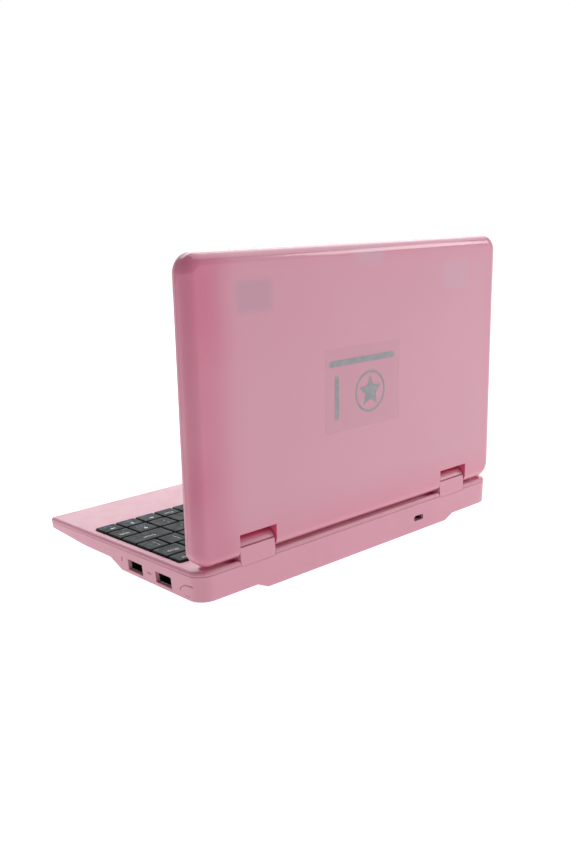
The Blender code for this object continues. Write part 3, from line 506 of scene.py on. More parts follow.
def turned(profile, matrix, steps=48, bm=None):
    """A turned solid in a bmesh: (radius, height) points from the axis back to the axis."""
    bm = bm or bmesh.new()
    rings = []
    for radius, height in profile:
        count = 1 if radius < 1e-9 else steps
        rings.append([
            bm.verts.new(matrix @ Vector((
                radius * math.cos(math.tau * i / steps), radius * math.sin(math.tau * i / steps), height
            )))
            for i in range(count)
        ])
    for one, two in zip(rings, rings[1:]):
        for i in range(steps):
            j = (i + 1) % steps
            if len(one) == 1:
                bm.faces.new((one[0], two[i], two[j]))
            elif len(two) == 1:
                bm.faces.new((one[i], two[0], one[j]))
            else:
                bm.faces.new((one[i], two[i], two[j], one[j]))
    return bm


def lathe(name, profile, at, look=None, place=(0, 0, 0), turn=None, steps=48):
    matrix = Matrix.Translation(place)
    if turn:
        matrix = matrix @ turn
    return add(name, turned(profile, matrix, steps), at, look)


def prism(name, outline, low_x, high_x, at, look=None):
    """A flat outline of (y, z) points made solid from low_x to high_x."""
    bm = bmesh.new()
    ends = [[bm.verts.new((x, y, z)) for y, z in outline] for x in (low_x, high_x)]
    bm.faces.new(ends[0])
    bm.faces.new(list(reversed(ends[1])))
    for i in range(len(outline)):
        j = (i + 1) % len(outline)
        bm.faces.new((ends[0][i], ends[1][i], ends[1][j], ends[0][j]))
    return add(name, bm, at, look)


def combine(obj, other, operation):
    modifier = obj.modifiers.new(other.name, "BOOLEAN")
    modifier.operation = operation
    modifier.object = other
    modifier.solver = "EXACT"


def cut(obj, *cutters):
    for cutter in cutters:
        combine(obj, cutter, "DIFFERENCE")


def join(obj, *fillers):
    for filler in fillers:
        combine(obj, filler, "UNION")


def settle(obj):
    """Makes the Booleans' result the object's own mesh."""
    bpy.context.view_layer.update()
    made = bpy.data.meshes.new_from_object(obj.evaluated_get(bpy.context.evaluated_depsgraph_get()))
    obj.modifiers.clear()
    old, obj.data = obj.data, made
    bpy.data.meshes.remove(old)


def split_inner_faces(obj):
    """Makes triangles of the side walls' inner faces, so that a bevel can't fold one over an opening."""
    bm = bmesh.new()
    bm.from_mesh(obj.data)
    wide = [
        face for face in bm.faces
        if len(face.verts) > 4 and face.normal.x * face.calc_center_median().x < -0.05 * WIDTH / 2
    ]
    bmesh.ops.triangulate(bm, faces=wide, ngon_method="BEAUTY")
    bm.to_mesh(obj.data)
    bm.free()


def soften(obj, width, steps=2, angle=32):
    """Small round edges all over, with normals that keep the flats flat."""
    modifier = obj.modifiers.new("edges", "BEVEL")
    modifier.width = width
    modifier.segments = steps
    modifier.limit_method = "ANGLE"
    modifier.angle_limit = math.radians(angle)
    modifier.use_clamp_overlap = False
    modifier.harden_normals = True
    modifier.miter_outer = "MITER_ARC"


def finish(obj, body, slot, *nodes, edge=0.0, steps=2, angle=32, smooth=38):
    """Settles a piece, shades it, and hands it to its body in place of its CAD nodes."""
    if obj.modifiers:
        settle(obj)
    obj.data.shade_smooth()
    if edge:
        soften(obj, edge, steps, angle)
    else:
        obj.data.set_sharp_from_angle(angle=math.radians(smooth))
    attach(obj, body)
    if nodes:
        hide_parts(*nodes)
    return obj


def across(side, low, high):
    return (low, high) if side > 0 else (-high, -low)


def side_name(side):
    return "right" if side > 0 else "left"


def deck_height(y):
    return DECK_MIDDLE + y * math.tan(DECK_SLOPE)


def rounded_outline(low, high, radius, steps=4):
    """The outline of a rectangle with round corners, as (u, v) points."""
    points = []
    centres = (
        (high[0] - radius, high[1] - radius), (low[0] + radius, high[1] - radius),
        (low[0] + radius, low[1] + radius), (high[0] - radius, low[1] + radius),
    )
    for quarter, (u, v) in enumerate(centres):
        for i in range(steps + 1):
            angle = math.pi / 2 * (quarter + i / steps)
            points.append((u + radius * math.cos(angle), v + radius * math.sin(angle)))
    return points


# ---------------------------------------------------------------- base shells


def case_form(name, inset, top, look=None):
    """The lower case's outer form, or the hollow inside it when inset by the wall."""
    reach = DEPTH / 2 + 5 * MM
    step = 0.45 * inset
    floor = [
        (-reach, WEDGE_LIP),
        (WEDGE_BELLY_Y, WEDGE_BELLY),
        (STEP_TOP_Y + step, WEDGE_BELLY),
        (STEP_FOOT_Y + step, FLOOR),
        (reach, FLOOR),
    ]
    outline = [(y, z + inset) for y, z in floor] + [(reach, top), (-reach, top)]
    form = prism(name, outline, -WIDTH / 2 - FAR, WIDTH / 2 + FAR, BASE, look)
    keel_top = KEEL + 5 * MM
    spread = KEEL_SPREAD * (keel_top - KEEL)
    keel = block(
        f"{name} keel",
        (-KEEL_HALF - spread + inset, KEEL_FRONT_Y - spread + inset, KEEL + inset),
        (KEEL_HALF + spread - inset, reach + spread, keel_top),
        BASE, foot=(spread, spread),
    )
    plan = block(
        f"{name} plan",
        (-WIDTH / 2 + inset, -DEPTH / 2 + inset, KEEL - FAR * bool(inset)),
        (WIDTH / 2 - inset, DEPTH / 2 - inset, top),
        BASE, corners=(max(FRONT_CORNER - inset, 0), REAR_CORNER - inset), foot=(DRAFT, DRAFT),
    )
    join(form, keel)
    combine(form, plan, "INTERSECT")
    return form


def screw_places():
    wedge = (WEDGE_BELLY - WEDGE_LIP) / (WEDGE_BELLY_Y + DEPTH / 2 + 5 * MM)
    front_y, rear_y = -60 * MM, 62 * MM
    front_z = WEDGE_LIP + wedge * (front_y + DEPTH / 2 + 5 * MM)
    for side in (-1, 1):
        yield f"front_{side_name(side)}", side * 96 * MM, front_y, front_z
        yield f"rear_{side_name(side)}", side * 96 * MM, rear_y, FLOOR


def make_screw(name, radius, place, depth, at, look="steel", up=-1):
    """A pan head with a cross recess, seen from below when up is -1."""
    profile = [
        (0, 0.62 * radius), (0.4 * radius, 0.6 * radius), (0.75 * radius, 0.46 * radius),
        (0.95 * radius, 0.2 * radius), (radius, 0), (radius, -0.12 * radius),
        (0.5 * radius, -0.12 * radius), (0.5 * radius, -depth), (0, -depth),
    ]
    turn = Matrix.Rotation(0 if up > 0 else math.pi, 4, "X")
    screw = lathe(name, profile, at, look, place, turn, steps=32)
    for quarter in (0, 1):
        bar = (0.62 * radius, 0.14 * radius, radius)
        size = Vector((bar[quarter], bar[1 - quarter], bar[2]))
        middle = Vector(place) + Vector((0, 0, up * 1.3 * radius))
        cut(screw, block(f"{name} recess {quarter}", middle - size, middle + size, at))
    return screw


def make_bottom_case():
    case = case_form("case_shell", 0, 16.5 * MM, "shell")
    trim = block("deck trim", (-WIDTH, -DEPTH, CASE_TOP), (WIDTH, DEPTH, 30 * MM), DECK)
    cut(case, trim, case_form("case hollow", WALL, 22 * MM))
    for side in (-1, 1):
        low_x, high_x = across(side, *KNUCKLE)
        join(case, block(
            f"tab {side_name(side)}", (low_x, DEPTH / 2 - WALL, 15.2 * MM),
            (high_x, DEPTH / 2, TAB_TOP), BASE,
        ))
    for place, x, y, under in screw_places():
        cut(case, rod(
            f"recess {place}", 2.6 * MM, (x, y, under - FAR), (x, y, under + 1.1 * MM), BASE
        ))
        seat = under + 0.95 * MM
        screw = make_screw(f"screw_{place}", 2.2 * MM, (x, y, seat), 3 * MM, BASE)
        finish(screw, "base", "steel", f"case_screw_{place}")
    for side in (-1, 1):
        for x, y, under, radius in FEET.values():
            cut(case, rod(
                f"pocket {side_name(side)} {x:.3f}", radius + GAP, (side * x, y, under - FAR),
                (side * x, y, under + 0.9 * MM), BASE,
            ))
    low, high = Vector((-70 * MM, 14 * MM, FLOOR)), Vector((10 * MM, 36 * MM, FLOOR + WALL))
    around = Vector((GAP, GAP, FAR))
    cut(case, block("hatch opening", low - around, high + around, BASE, corners=(3 * MM, 3 * MM)))
    for i in range(6):
        x = (30 + 6 * i) * MM
        outline = rounded_outline((16 * MM, x), (34 * MM, x + 1.6 * MM), 0.79 * MM)
        slot = bmesh.new()
        ends = [
            [slot.verts.new((v, u, z)) for u, v in outline]
            for z in (FLOOR - FAR, FLOOR + WALL + MM)
        ]
        skin(slot, ends)
        cut(case, add(f"air slot {i}", slot, BASE))
    return case


def skin(bm, loops, first=True, last=True):
    """Joins loops of equal length with faces, and closes the ends."""
    count = len(loops[0])
    faces = []
    for one, two in zip(loops, loops[1:]):
        for i in range(count):
            j = (i + 1) % count
            faces.append(bm.faces.new((one[i], one[j], two[j], two[i])))
    if first:
        faces.append(bm.faces.new(list(reversed(loops[0]))))
    if last:
        faces.append(bm.faces.new(loops[-1]))
    return faces


def make_top_case():
    half_x, half_y = WIDTH / 2, DEPTH / 2
    case = block(
        "deck_shell", (-half_x, -half_y, -DECK_THICK), (half_x, half_y, 0), DECK, "deck",
        corners=(FRONT_CORNER, REAR_CORNER), rim=DECK_RIM, rim_steps=9,
    )
    quarter = [math.pi / 2 * i / 10 for i in range(11)]
    end = [
        (TROUGH_RADIUS * math.sin(a), TROUGH_HALF + TROUGH_RADIUS * math.cos(a)) for a in quarter
    ]
    end[0] = (0, TROUGH_HALF + TROUGH_RADIUS)
    profile = end + [(radius, -height) for radius, height in reversed(end)]
    cut(case, lathe(
        "lid trough", profile, BASE, None, (0, HINGE_Y, HINGE_Z),
        Matrix.Rotation(math.pi / 2, 4, "Y"), steps=96,
    ))
    for side in (-1, 1):
        make_knuckle(case, side)
    return case


def knuckle_outline(radius, foot):
    arc = [math.pi * i / 28 for i in range(29)]
    over = [(HINGE_Y - radius * math.cos(a), HINGE_Z + radius * math.sin(a)) for a in arc]
    return [(HINGE_Y - radius, foot), *over, (HINGE_Y + radius, foot)]


def make_knuckle(case, side):
    word = side_name(side)
    low_x, high_x = across(side, *KNUCKLE)
    deck = deck_height(HINGE_Y)
    shell = prism(
        f"knuckle {word}", knuckle_outline(KNUCKLE_RADIUS, deck - 1.7 * MM), low_x, high_x, BASE
    )
    hollow = prism(
        f"knuckle hollow {word}", knuckle_outline(KNUCKLE_RADIUS - KNUCKLE_WALL, deck - FAR),
        low_x + KNUCKLE_WALL, high_x - KNUCKLE_WALL, BASE,
    )
    tab_space = block(
        f"tab space {word}", (low_x - SEAM, DEPTH / 2 - WALL - SEAM, deck - FAR),
        (high_x + SEAM, DEPTH / 2 + FAR, TAB_TOP + SEAM), BASE,
    )
    inner = side * KNUCKLE[0]
    pin_hole = rod(
        f"pin hole {word}", PIN_RADIUS + 2 * GAP, (inner - side * MM, HINGE_Y, HINGE_Z),
        (inner + side * (KNUCKLE_WALL + MM), HINGE_Y, HINGE_Z), BASE,
    )
    join(case, shell)
    cut(case, hollow, tab_space, pin_hole)


def make_feet():
    for row, (x, y, under, radius) in FEET.items():
        for side in (-1, 1):
            top = under + 0.6 * MM
            profile = [
                (0, top), (radius - 0.1 * MM, top), (radius, top - 0.1 * MM), (radius, 0.55 * MM),
                (radius - 0.1 * MM, 0.25 * MM), (radius - 0.3 * MM, 0.07 * MM), (radius - 0.55 * MM, 0),
                (radius - 1.4 * MM, 0), (radius - 1.6 * MM, 0.2 * MM), (radius - 2.0 * MM, 0.2 * MM),
                (radius - 2.2 * MM, 0), (0, 0),
            ]
            name = f"foot_{row}_{side_name(side)}"
            foot = lathe(f"rubber_{name}", profile, BASE, "rubber", (side * x, y, 0))
            finish(foot, "base", "rubber", name)


# ---------------------------------------------------------------- ports and side marks


def make_usb_socket(case, place, y):
    """A rolled sheet shell with spring windows, a near-black sleeve inside it that is painted shade where the
    socket's inside lies in shadow, and a tongue with four gold contacts.
    """
    length, width, height = USB_SIZE
    outer_x = WIDTH / 2 - USB_INSET
    sheet = 0.28 * MM
    low = Vector((outer_x - length, y - width / 2, USB_Z - height / 2))
    high = Vector((outer_x, y + width / 2, USB_Z + height / 2))
    shell = prism(
        f"usb_shell_{place}",
        rounded_outline((low.y, low.z), (high.y, high.z), 0.6 * MM), low.x, high.x, BASE, "plate",
    )
    cut(shell, prism(
        f"usb hollow {place}",
        rounded_outline((low.y + sheet, low.z + sheet), (high.y - sheet, high.z - sheet), 0.4 * MM),
        low.x + 1.5 * MM, high.x + FAR, BASE,
    ))
    for side in (-1, 1):
        cut(shell, block(
            f"spring window {place} {side}", (high.x - 9 * MM, y + side * 3 * MM - 1.1 * MM, low.z - MM),
            (high.x - 4 * MM, y + side * 3 * MM + 1.1 * MM, low.z + MM), BASE,
        ))
    finish(shell, "base", "socket_metal", f"usb_socket_{place}", edge=0.06 * MM)
    thick = 0.3 * MM
    # A near-black sleeve inside the metal shell: painted shade where the socket's inside lies in shadow. It stops
    # short of the mouth on the -Y wall, where the metal stays lit.
    shade_sleeve = prism(
        f"usb_painted_shade_sleeve_{place}",
        rounded_outline((low.y + sheet, low.z + sheet), (high.y - sheet, high.z - sheet), 0.35 * MM),
        low.x + 1.5 * MM, high.x - 0.35 * MM, BASE, "tongue_black_and_sleeve_shade",
    )
    cut(shade_sleeve, prism(
        f"lining hollow {place}",
        rounded_outline(
            (low.y + sheet + thick, low.z + sheet + thick),
            (high.y - sheet - thick, high.z - sheet - thick), 0.3 * MM,
        ),
        low.x + 3 * MM, high.x + FAR, BASE,
    ), block(
        f"lining end {place}", (high.x - 2.4 * MM, low.y, low.z + 1.2 * MM),
        (high.x + MM, low.y + sheet + thick + 0.1 * MM, high.z), BASE,
    ))
    finish(shade_sleeve, "base", "black_plastic")
    tongue = block(
        f"usb_tongue_{place}", (low.x + 2.5 * MM, y - 5.2 * MM, USB_Z + 0.1 * MM),
        (high.x - 1.6 * MM, y + 5.2 * MM, high.z - 0.9 * MM), BASE, "tongue_black_and_sleeve_shade",
    )
    finish(tongue, "base", "black_plastic", edge=0.2 * MM)
    bm = bmesh.new()
    for i in range(4):
        middle = y + (i - 1.5) * 2.3 * MM
        outline = rounded_outline(
            (low.x + 4 * MM, middle - 0.5 * MM), (high.x - 2.3 * MM, middle + 0.5 * MM), 0.3 * MM
        )
        loops = [
            [bm.verts.new((u, v, USB_Z + z)) for u, v in outline] for z in (0.12 * MM, -0.08 * MM)
        ]
        skin(bm, loops)
    contacts = add(f"usb_contacts_{place}", bm, BASE, "plate")
    finish(contacts, "base", "socket_metal")
    cut(case, block(
        f"usb window {place}", (WIDTH / 2 - FAR, low.y - GAP, low.z - GAP),
        (WIDTH / 2 + FAR, high.y + GAP, high.z + GAP), BASE, corners=(0, 0),
    ))


REAR_MARK = (64.5 * MM, 10.9 * MM)  # where the curved mark levels out


def make_side_marks(case):
    """A slot before the first socket, a sign between the two, and a curved groove with two pips at the rear."""
    face = WIDTH / 2 - 0.4 * MM
    for number, (low_y, high_y, low_z, high_z, deep, radius) in enumerate((
        (4.6, 5.3, 8.7, 11.2, 0.5, 0.3),
        (28.4, 32.6, 8.4, 8.7, 0.2, 0.14),
        (30.2, 30.8, 7.8, 9.3, 0.2, 0.25),
        (60.9, 61.7, 5.0, 5.8, 0.4, 0.35),
        (63.3, 64.1, 5.1, 5.9, 0.4, 0.35),
    )):
        outline = rounded_outline((low_y * MM, low_z * MM), (high_y * MM, high_z * MM), radius * MM)
        cut(case, prism(f"side mark {number}", outline, face - deep * MM, face + FAR, BASE))
    arc = [
        (REAR_MARK[0] + 8 * MM * math.sin(a) - 8 * MM, REAR_MARK[1] - 4.6 * MM * (1 - math.cos(a)))
        for a in (math.radians(-80 + 16 * i) for i in range(6))
    ]
    bm = bmesh.new()
    path = [(y + 8 * MM, z) for y, z in arc] + [(REAR_MARK[0] + 7 * MM, REAR_MARK[1])]
    loops = []
    for i, (y, z) in enumerate(path):
        ahead = Vector(path[min(i + 1, len(path) - 1)]) - Vector(path[max(i - 1, 0)])
        across_ = Vector((-ahead.y, ahead.x)).normalized() * 0.22 * MM
        loops.append([
            bm.verts.new((x, y + side * across_.x, z + side * across_.y))
            for x, side in ((face - 0.45 * MM, -1), (face + MM, -1), (face + MM, 1), (face - 0.45 * MM, 1))
        ])
    skin(bm, loops)
    cut(case, add("rear side mark", bm, BASE))


def make_round_jack(case, name, y, radius, bore, pin):
    """A black jack with a plated sleeve in its mouth, and a centre pin where it has one."""
    wall = -WIDTH / 2
    mouth = wall + 0.9 * MM
    z = 9.2 * MM
    turn = Matrix.Rotation(-math.pi / 2, 4, "Y")
    place = (mouth, y, z)
    deep = 9 * MM
    profile = [
        (0, -deep), (bore, -deep), (bore, -0.5 * MM), (bore + 0.35 * MM, -0.08 * MM),
        (bore + 0.5 * MM, 0), (radius - 0.2 * MM, 0), (radius, -0.2 * MM), (radius, -4 * MM),
        (radius + 0.9 * MM, -4 * MM), (radius + 0.9 * MM, -12 * MM), (0, -12 * MM),
    ]
    jack = lathe(f"{name}_body", profile, BASE, "black", place, turn)
    finish(jack, "base", "black_plastic", name)
    thin = bore - 0.2 * MM
    sleeve = [
        (bore - 0.02 * MM, -0.9 * MM), (bore - 0.02 * MM, -8 * MM), (thin, -8 * MM), (thin, -0.9 * MM),
    ]
    ring = lathe_ring(f"{name}_sleeve", sleeve, BASE, "steel", place, turn)
    finish(ring, "base", "steel")
    if pin:
        tip = [
            (0, -1.6 * MM), (pin * 0.6, -1.65 * MM), (pin, -2.1 * MM), (pin, -8.9 * MM), (0, -8.9 * MM),
        ]
        finish(lathe(f"{name}_pin", tip, BASE, "steel", place, turn), "base", "steel")
    cut(case, rod(
        f"{name} window", radius + GAP, (wall - FAR, y, z), (wall + FAR / 2, y, z), BASE
    ))


def lathe_ring(name, profile, at, look, place, turn, steps=48):
    """A turned ring: its profile is a closed loop that stays off the axis."""
    bm = bmesh.new()
    matrix = Matrix.Translation(place) @ turn
    loops = []
    for i in range(steps):
        angle = math.tau * i / steps
        loops.append([
            bm.verts.new(matrix @ Vector((r * math.cos(angle), r * math.sin(angle), h)))
            for r, h in profile
        ])
    skin(bm, [*loops, loops[0]], first=False, last=False)
    return add(name, bm, at, look)


def make_left_ports(case):
    make_round_jack(case, "power_jack", 52 * MM, 3.4 * MM, 2.7 * MM, 0.85 * MM)
    make_round_jack(case, "headphone_jack", 40 * MM, 2.9 * MM, 1.75 * MM, 0)
    mouth = -WIDTH / 2 + 0.9 * MM
    low, high = Vector((mouth, 10 * MM, 7.4 * MM)), Vector((mouth + 22 * MM, 34 * MM, 10.6 * MM))
    slot = prism(
        "card_slot_shell", rounded_outline((low.y, low.z), (high.y, high.z), 0.4 * MM),
        low.x, high.x, BASE, "plate",
    )
    cut(slot, block(
        "card hollow", low + Vector((-FAR, 0.6 * MM, 0.5 * MM)),
        high - Vector((1.5 * MM, 0.6 * MM, 0.5 * MM)), BASE,
    ))
    finish(slot, "base", "socket_metal", "card_slot", edge=0.1 * MM)
    around = Vector((FAR, GAP, GAP))
    cut(case, block(
        "card window", low - around, Vector((low.x, high.y, high.z)) + around, BASE
    ))
    bm = bmesh.new()
    for i in range(8):
        middle = low.y + (4 + 2.3 * i) * MM
        outline = rounded_outline(
            (low.x + 8 * MM, middle - 0.45 * MM), (low.x + 19 * MM, middle + 0.45 * MM), 0.2 * MM
        )
        skin(bm, [
            [bm.verts.new((u, v, low.z + z)) for u, v in outline] for z in (0.45 * MM, 0.75 * MM)
        ])
    finish(add("card_contacts", bm, BASE, "plate"), "base", "socket_metal")


def make_lock_slot(case):
    x, z, width, height = LOCK_SLOT
    rear = DEPTH / 2
    outline = rounded_outline(
        (x - width / 2, z - height / 2), (x + width / 2, z + height / 2), 1.2 * MM, 6
    )
    bm = bmesh.new()
    skin(bm, [[bm.verts.new((u, y, v)) for u, v in outline] for y in (rear - FAR, rear + FAR)])
    cut(case, add("lock opening", bm, BASE))
    plate = block(
        "lock_plate", (x - 8 * MM, rear - WALL - 2.2 * MM, FLOOR + WALL + GAP),
        (x + 8 * MM, rear - WALL - 1.0 * MM, 13 * MM), BASE, "steel",
    )
    inner = rounded_outline(
        (x - width / 2 + GAP, z - height / 2 + GAP), (x + width / 2 - GAP, z + height / 2 - GAP),
        1.0 * MM, 6,
    )
    bm = bmesh.new()
    skin(bm, [[bm.verts.new((u, y, v)) for u, v in inner] for y in (rear - FAR, rear + FAR)])
    cut(plate, add("plate opening", bm, BASE))
    finish(plate, "base", "steel", "lock_slot_plate", edge=0.12 * MM)


# ---------------------------------------------------------------- keys


def key_rows():
    """(row number, front y, depth, [(cell width, node or None, legends)]) from the front row back.
    A key's legends are (text, size, x, y, blue) with x and y from the key's middle, in millimetres."""
    def fill(fixed, count):
        return (KEY_FIELD[0] - fixed) / count

    def plain(widths, words):
        return [(width, None, word) for width, word in zip(widths, words)]

    modifier = 14.6 * MM
    caps, shift, enter, back = 20 * MM, 36.6 * MM, 2 * SMALL, 15.2 * MM
    space = KEY_FIELD[0] - 5 * modifier - 5 * SMALL
    front = (
        plain([modifier] * 5, ["Fn", "Ctrl", "Menu", "Alt", "` ~"])
        + [(space, "space_bar", "")] + plain([SMALL] * 2, ["Alt", "Ctrl"])
        + [
            (SMALL, "arrow_left_key", "<|Home"), (SMALL, "arrow_down_key", "v|PgDn"),
            (SMALL, "arrow_right_key", ">|End"),
        ]
    )
    lower = (
        [(shift, "shift_left_key", "Shift")]
        + plain([fill(shift + 3 * SMALL, 9)] * 9, ["Z", "X", "C", "V", "B", "N", "M", ", <", ". >"])
        + plain([SMALL], ["/ ?"])
        + [(SMALL, "arrow_up_key", "^|PgUp"), (SMALL, "shift_right_key", "Shift")]
    )
    home = (
        [(caps, "caps_lock_key", "Caps")]
        + plain([fill(caps + enter, 11)] * 11, [*"ASDFGHJKL", "; :", "' \""])
        + [(enter, "enter_key", "Enter")]
    )
    upper = (
        plain([caps], ["Tab"]) + plain([fill(caps + 2 * SMALL, 11)] * 11, [*"QWERTYUIOP", "[ {"])
        + plain([SMALL] * 2, ["] }", "\\ |"])
    )
    digits = plain(
        [fill(back, 13)] * 13,
        ["` ~", "1 !", "2 @", "3 #", "4 $", "5 %", "6 ^", "7 &", "8 *", "9 (", "0 )", "- _", "= +"],
    ) + [(back, "backspace_key", "Bksp")]
    functions = plain(
        [fill(0, 16)] * 16,
        ["Esc", *[f"F{i}" for i in range(1, 13)], "Ins", "Prt", "Del"],
    )
    depths = (12.8 * MM, 14.4 * MM, 14.4 * MM, 14.4 * MM, 14.4 * MM, 11.0 * MM)
    y = KEY_FIELD[1]
    for number, (keys, depth) in enumerate(zip((front, lower, home, upper, digits, functions), depths)):
        yield 6 - number, y, depth, keys
        y += depth


def make_letters(words):
    """The outline of each word as a mesh one unit high, from Blender's own built-in font."""
    objects = {}
    for number, word in enumerate(sorted(words)):
        curve = bpy.data.curves.new(f"word {number}", "FONT")
        curve.body = word
        curve.size = 1.0
        curve.resolution_u = 3
        curve.align_x = "CENTER"
        curve.align_y = "CENTER"
        obj = bpy.data.objects.new(f"word {number}", curve)
        bpy.context.scene.collection.objects.link(obj)
        objects[word] = obj
    bpy.context.view_layer.update()
    graph = bpy.context.evaluated_depsgraph_get()
    meshes = {}
    for word, obj in objects.items():
        mesh = bpy.data.meshes.new_from_object(obj.evaluated_get(graph))
        meshes[word] = (
            [tuple(vert.co) for vert in mesh.vertices],
            [tuple(face.vertices) for face in mesh.polygons],
        )
        bpy.data.meshes.remove(mesh)
    for obj in objects.values():
        curve = obj.data
        bpy.data.objects.remove(obj)
        bpy.data.curves.remove(curve)
    return meshes


PAD = dict(zip("UIOJKLM", "4561230"))  # the number pad that the blue legends lay over the letters
ARROWS = {"<": 90, "v": 180, ">": -90, "^": 0}


def legend_parts(word, width):
    """(word or arrow, size, x, y, material) of the marks on one key, in metres from its middle."""
    if not word:
        return
    if "|" in word and len(word) > 3:
        arrow, name = word.split("|")
        yield arrow, 3.0 * MM, -0.6 * MM, 1.7 * MM, 1
        yield name, 2.6 * MM, 0.0, -2.6 * MM, 2
    elif " " in word:
        low, high = word.split(" ")
        yield low, 3.2 * MM, -1.9 * MM, -1.7 * MM, 1
        yield high, 3.2 * MM, -1.9 * MM, 2.3 * MM, 1
    elif len(word) == 1:
        yield word, 4.2 * MM, -1.8 * MM, 1.5 * MM, 1
        if word in PAD:
            yield PAD[word], 2.6 * MM, 3.0 * MM, -2.7 * MM, 2
    else:
        yield word, 3.3 * MM, 0.0, 1.4 * MM, 1


def make_keycap(bm, x, y, width, depth):
    """One keycap: a tapering skirt, a soft upper edge, and a top that dips towards its middle."""
    side = KEY_SPACE / 2
    low = Vector((x + side, y + side))
    high = Vector((x + width - side, y + depth - side))
    taper = Vector(KEY_TAPER)
    edge = 0.18 * MM
    levels = [(0.0, KEY_FOOT, 0.35 * MM), (0.9, KEY_TOP - edge, 0.5 * MM)]
    for i in range(1, 4):
        angle = math.pi / 2 * i / 3
        levels.append((0.9, KEY_TOP - edge + edge * math.sin(angle), 0.5 * MM))
    loops = []
    for number, (share, z, radius) in enumerate(levels):
        inset = taper * share
        if number > 1:
            angle = math.pi / 2 * (number - 1) / 3
            inset = inset + Vector((1, 1)) * edge * (1 - math.cos(angle)) * 0.6
        outline = rounded_outline(low + inset, high - inset, radius, 3)
        loops.append([bm.verts.new((u, v, z)) for u, v in outline])
    middle = (low + high) / 2
    rim = [vert.co.copy() for vert in loops[-1]]
    for share in (0.8, 0.55, 0.28):
        z = KEY_TOP - KEY_DISH * (1 - share * share)
        loops.append([
            bm.verts.new((middle.x + (co.x - middle.x) * share, middle.y + (co.y - middle.y) * share, z))
            for co in rim
        ])
    return skin(bm, loops)


def make_legends(bm, word, x, y, width, depth, letters):
    middle = Vector((x + width / 2, y + depth / 2))
    half = Vector((width, depth)) / 2 - Vector(KEY_TAPER) - Vector((1, 1)) * KEY_SPACE / 2
    for mark, size, off_x, off_y, index in legend_parts(word, width):
        if mark in ARROWS:
            turn = Matrix.Rotation(math.radians(ARROWS[mark]), 2)
            shape = [(0, 0.5), (-0.42, 0.02), (-0.14, 0.02), (-0.14, -0.5), (0.14, -0.5), (0.14, 0.02), (0.42, 0.02)]
            points = [tuple(turn @ Vector(point)) for point in shape]
            faces = [tuple(range(7))]
        else:
            points, faces = letters[mark]
        verts = []
        for point in points:
            u, v = middle.x + off_x + point[0] * size, middle.y + off_y + point[1] * size
            share = max(abs(u - middle.x) / half.x, abs(v - middle.y) / half.y)
            dip = KEY_DISH * max(0.0, 1 - share * share)
            verts.append(bm.verts.new((u, v, KEY_TOP - dip + 0.025 * MM)))
        for face in faces:
            made = bm.faces.new([verts[i] for i in face])
            made.material_index = index


def make_keys():
    rows = list(key_rows())
    words = set()
    for _, _, _, keys in rows:
        for width, _, word in keys:
            words |= {part[0] for part in legend_parts(word, width)}
    letters = make_letters(words - set(ARROWS))
    for number, y, depth, keys in rows:
        x = -KEY_FIELD[0] / 2
        groups = [[]]
        for width, node, word in keys:
            if node:
                groups += [[(x, width, word, node)], []]
            else:
                groups[-1].append((x, width, word, None))
            x += width
        groups = [group for group in groups if group]
        strips = [group for group in groups if group[0][3] is None]
        for group in groups:
            node = group[0][3]
            if not node:
                end = "" if len(strips) == 1 else ("_left", "_right")[strips.index(group)]
                node = f"key_row_{number}{end}"
            bm = bmesh.new()
            for key_x, width, _, _ in group:
                make_keycap(bm, key_x, y, width, depth)
            bmesh.ops.recalc_face_normals(bm, faces=bm.faces)
            for key_x, width, word, _ in group:
                make_legends(bm, word, key_x, y, width, depth, letters)
            finish_keys(bm, node)


def finish_keys(bm, node):
    name = f"{node}_cap" if node.endswith(("key", "bar")) else f"{node}_caps"
    for face in bm.faces:
        if face.material_index and face.normal.z < 0:
            face.normal_flip()
    mesh = bpy.data.meshes.new(name)
    bm.to_mesh(mesh)
    bm.free()
    for look in ("keys", "legend_white", "legend_blue"):
        mesh.materials.append(LOOKS[look].material)
    obj = bpy.data.objects.new(name, mesh)
    obj.matrix_world = DECK
    bpy.context.scene.collection.objects.link(obj)
    finish(obj, node, "key_plastic", node, smooth=50)


# ---------------------------------------------------------------- what the deck holds


def make_keyboard(case):
    half = KEY_FIELD[0] / 2
    front = KEY_FIELD[1]
    rear = front + sum(depth for _, _, depth, _ in key_rows())
    cut(case, block(
        "keyboard opening", (-half, front - GAP, -FAR), (half, rear + GAP, FAR), DECK,
        corners=(2 * MM, 2 * MM), steps=8,
    ))
    make_keys()


def make_in_deck(case, name, low, high, look, slot, node, body, corner=0.6 * MM, rim=0.25 * MM):
    """A piece let into the deck, in an opening a gap wider than it all round."""
    low, high = Vector(low), Vector(high)
    around = Vector((GAP, GAP, FAR))
    round_ = (corner + GAP, corner + GAP)
    cut(case, block(f"{name} opening", low - around, high + around, DECK, corners=round_, steps=6))
    piece = block(name, low, high, DECK, look, corners=(corner, corner), steps=6, rim=rim, rim_steps=4)
    return finish(piece, body, slot, node)


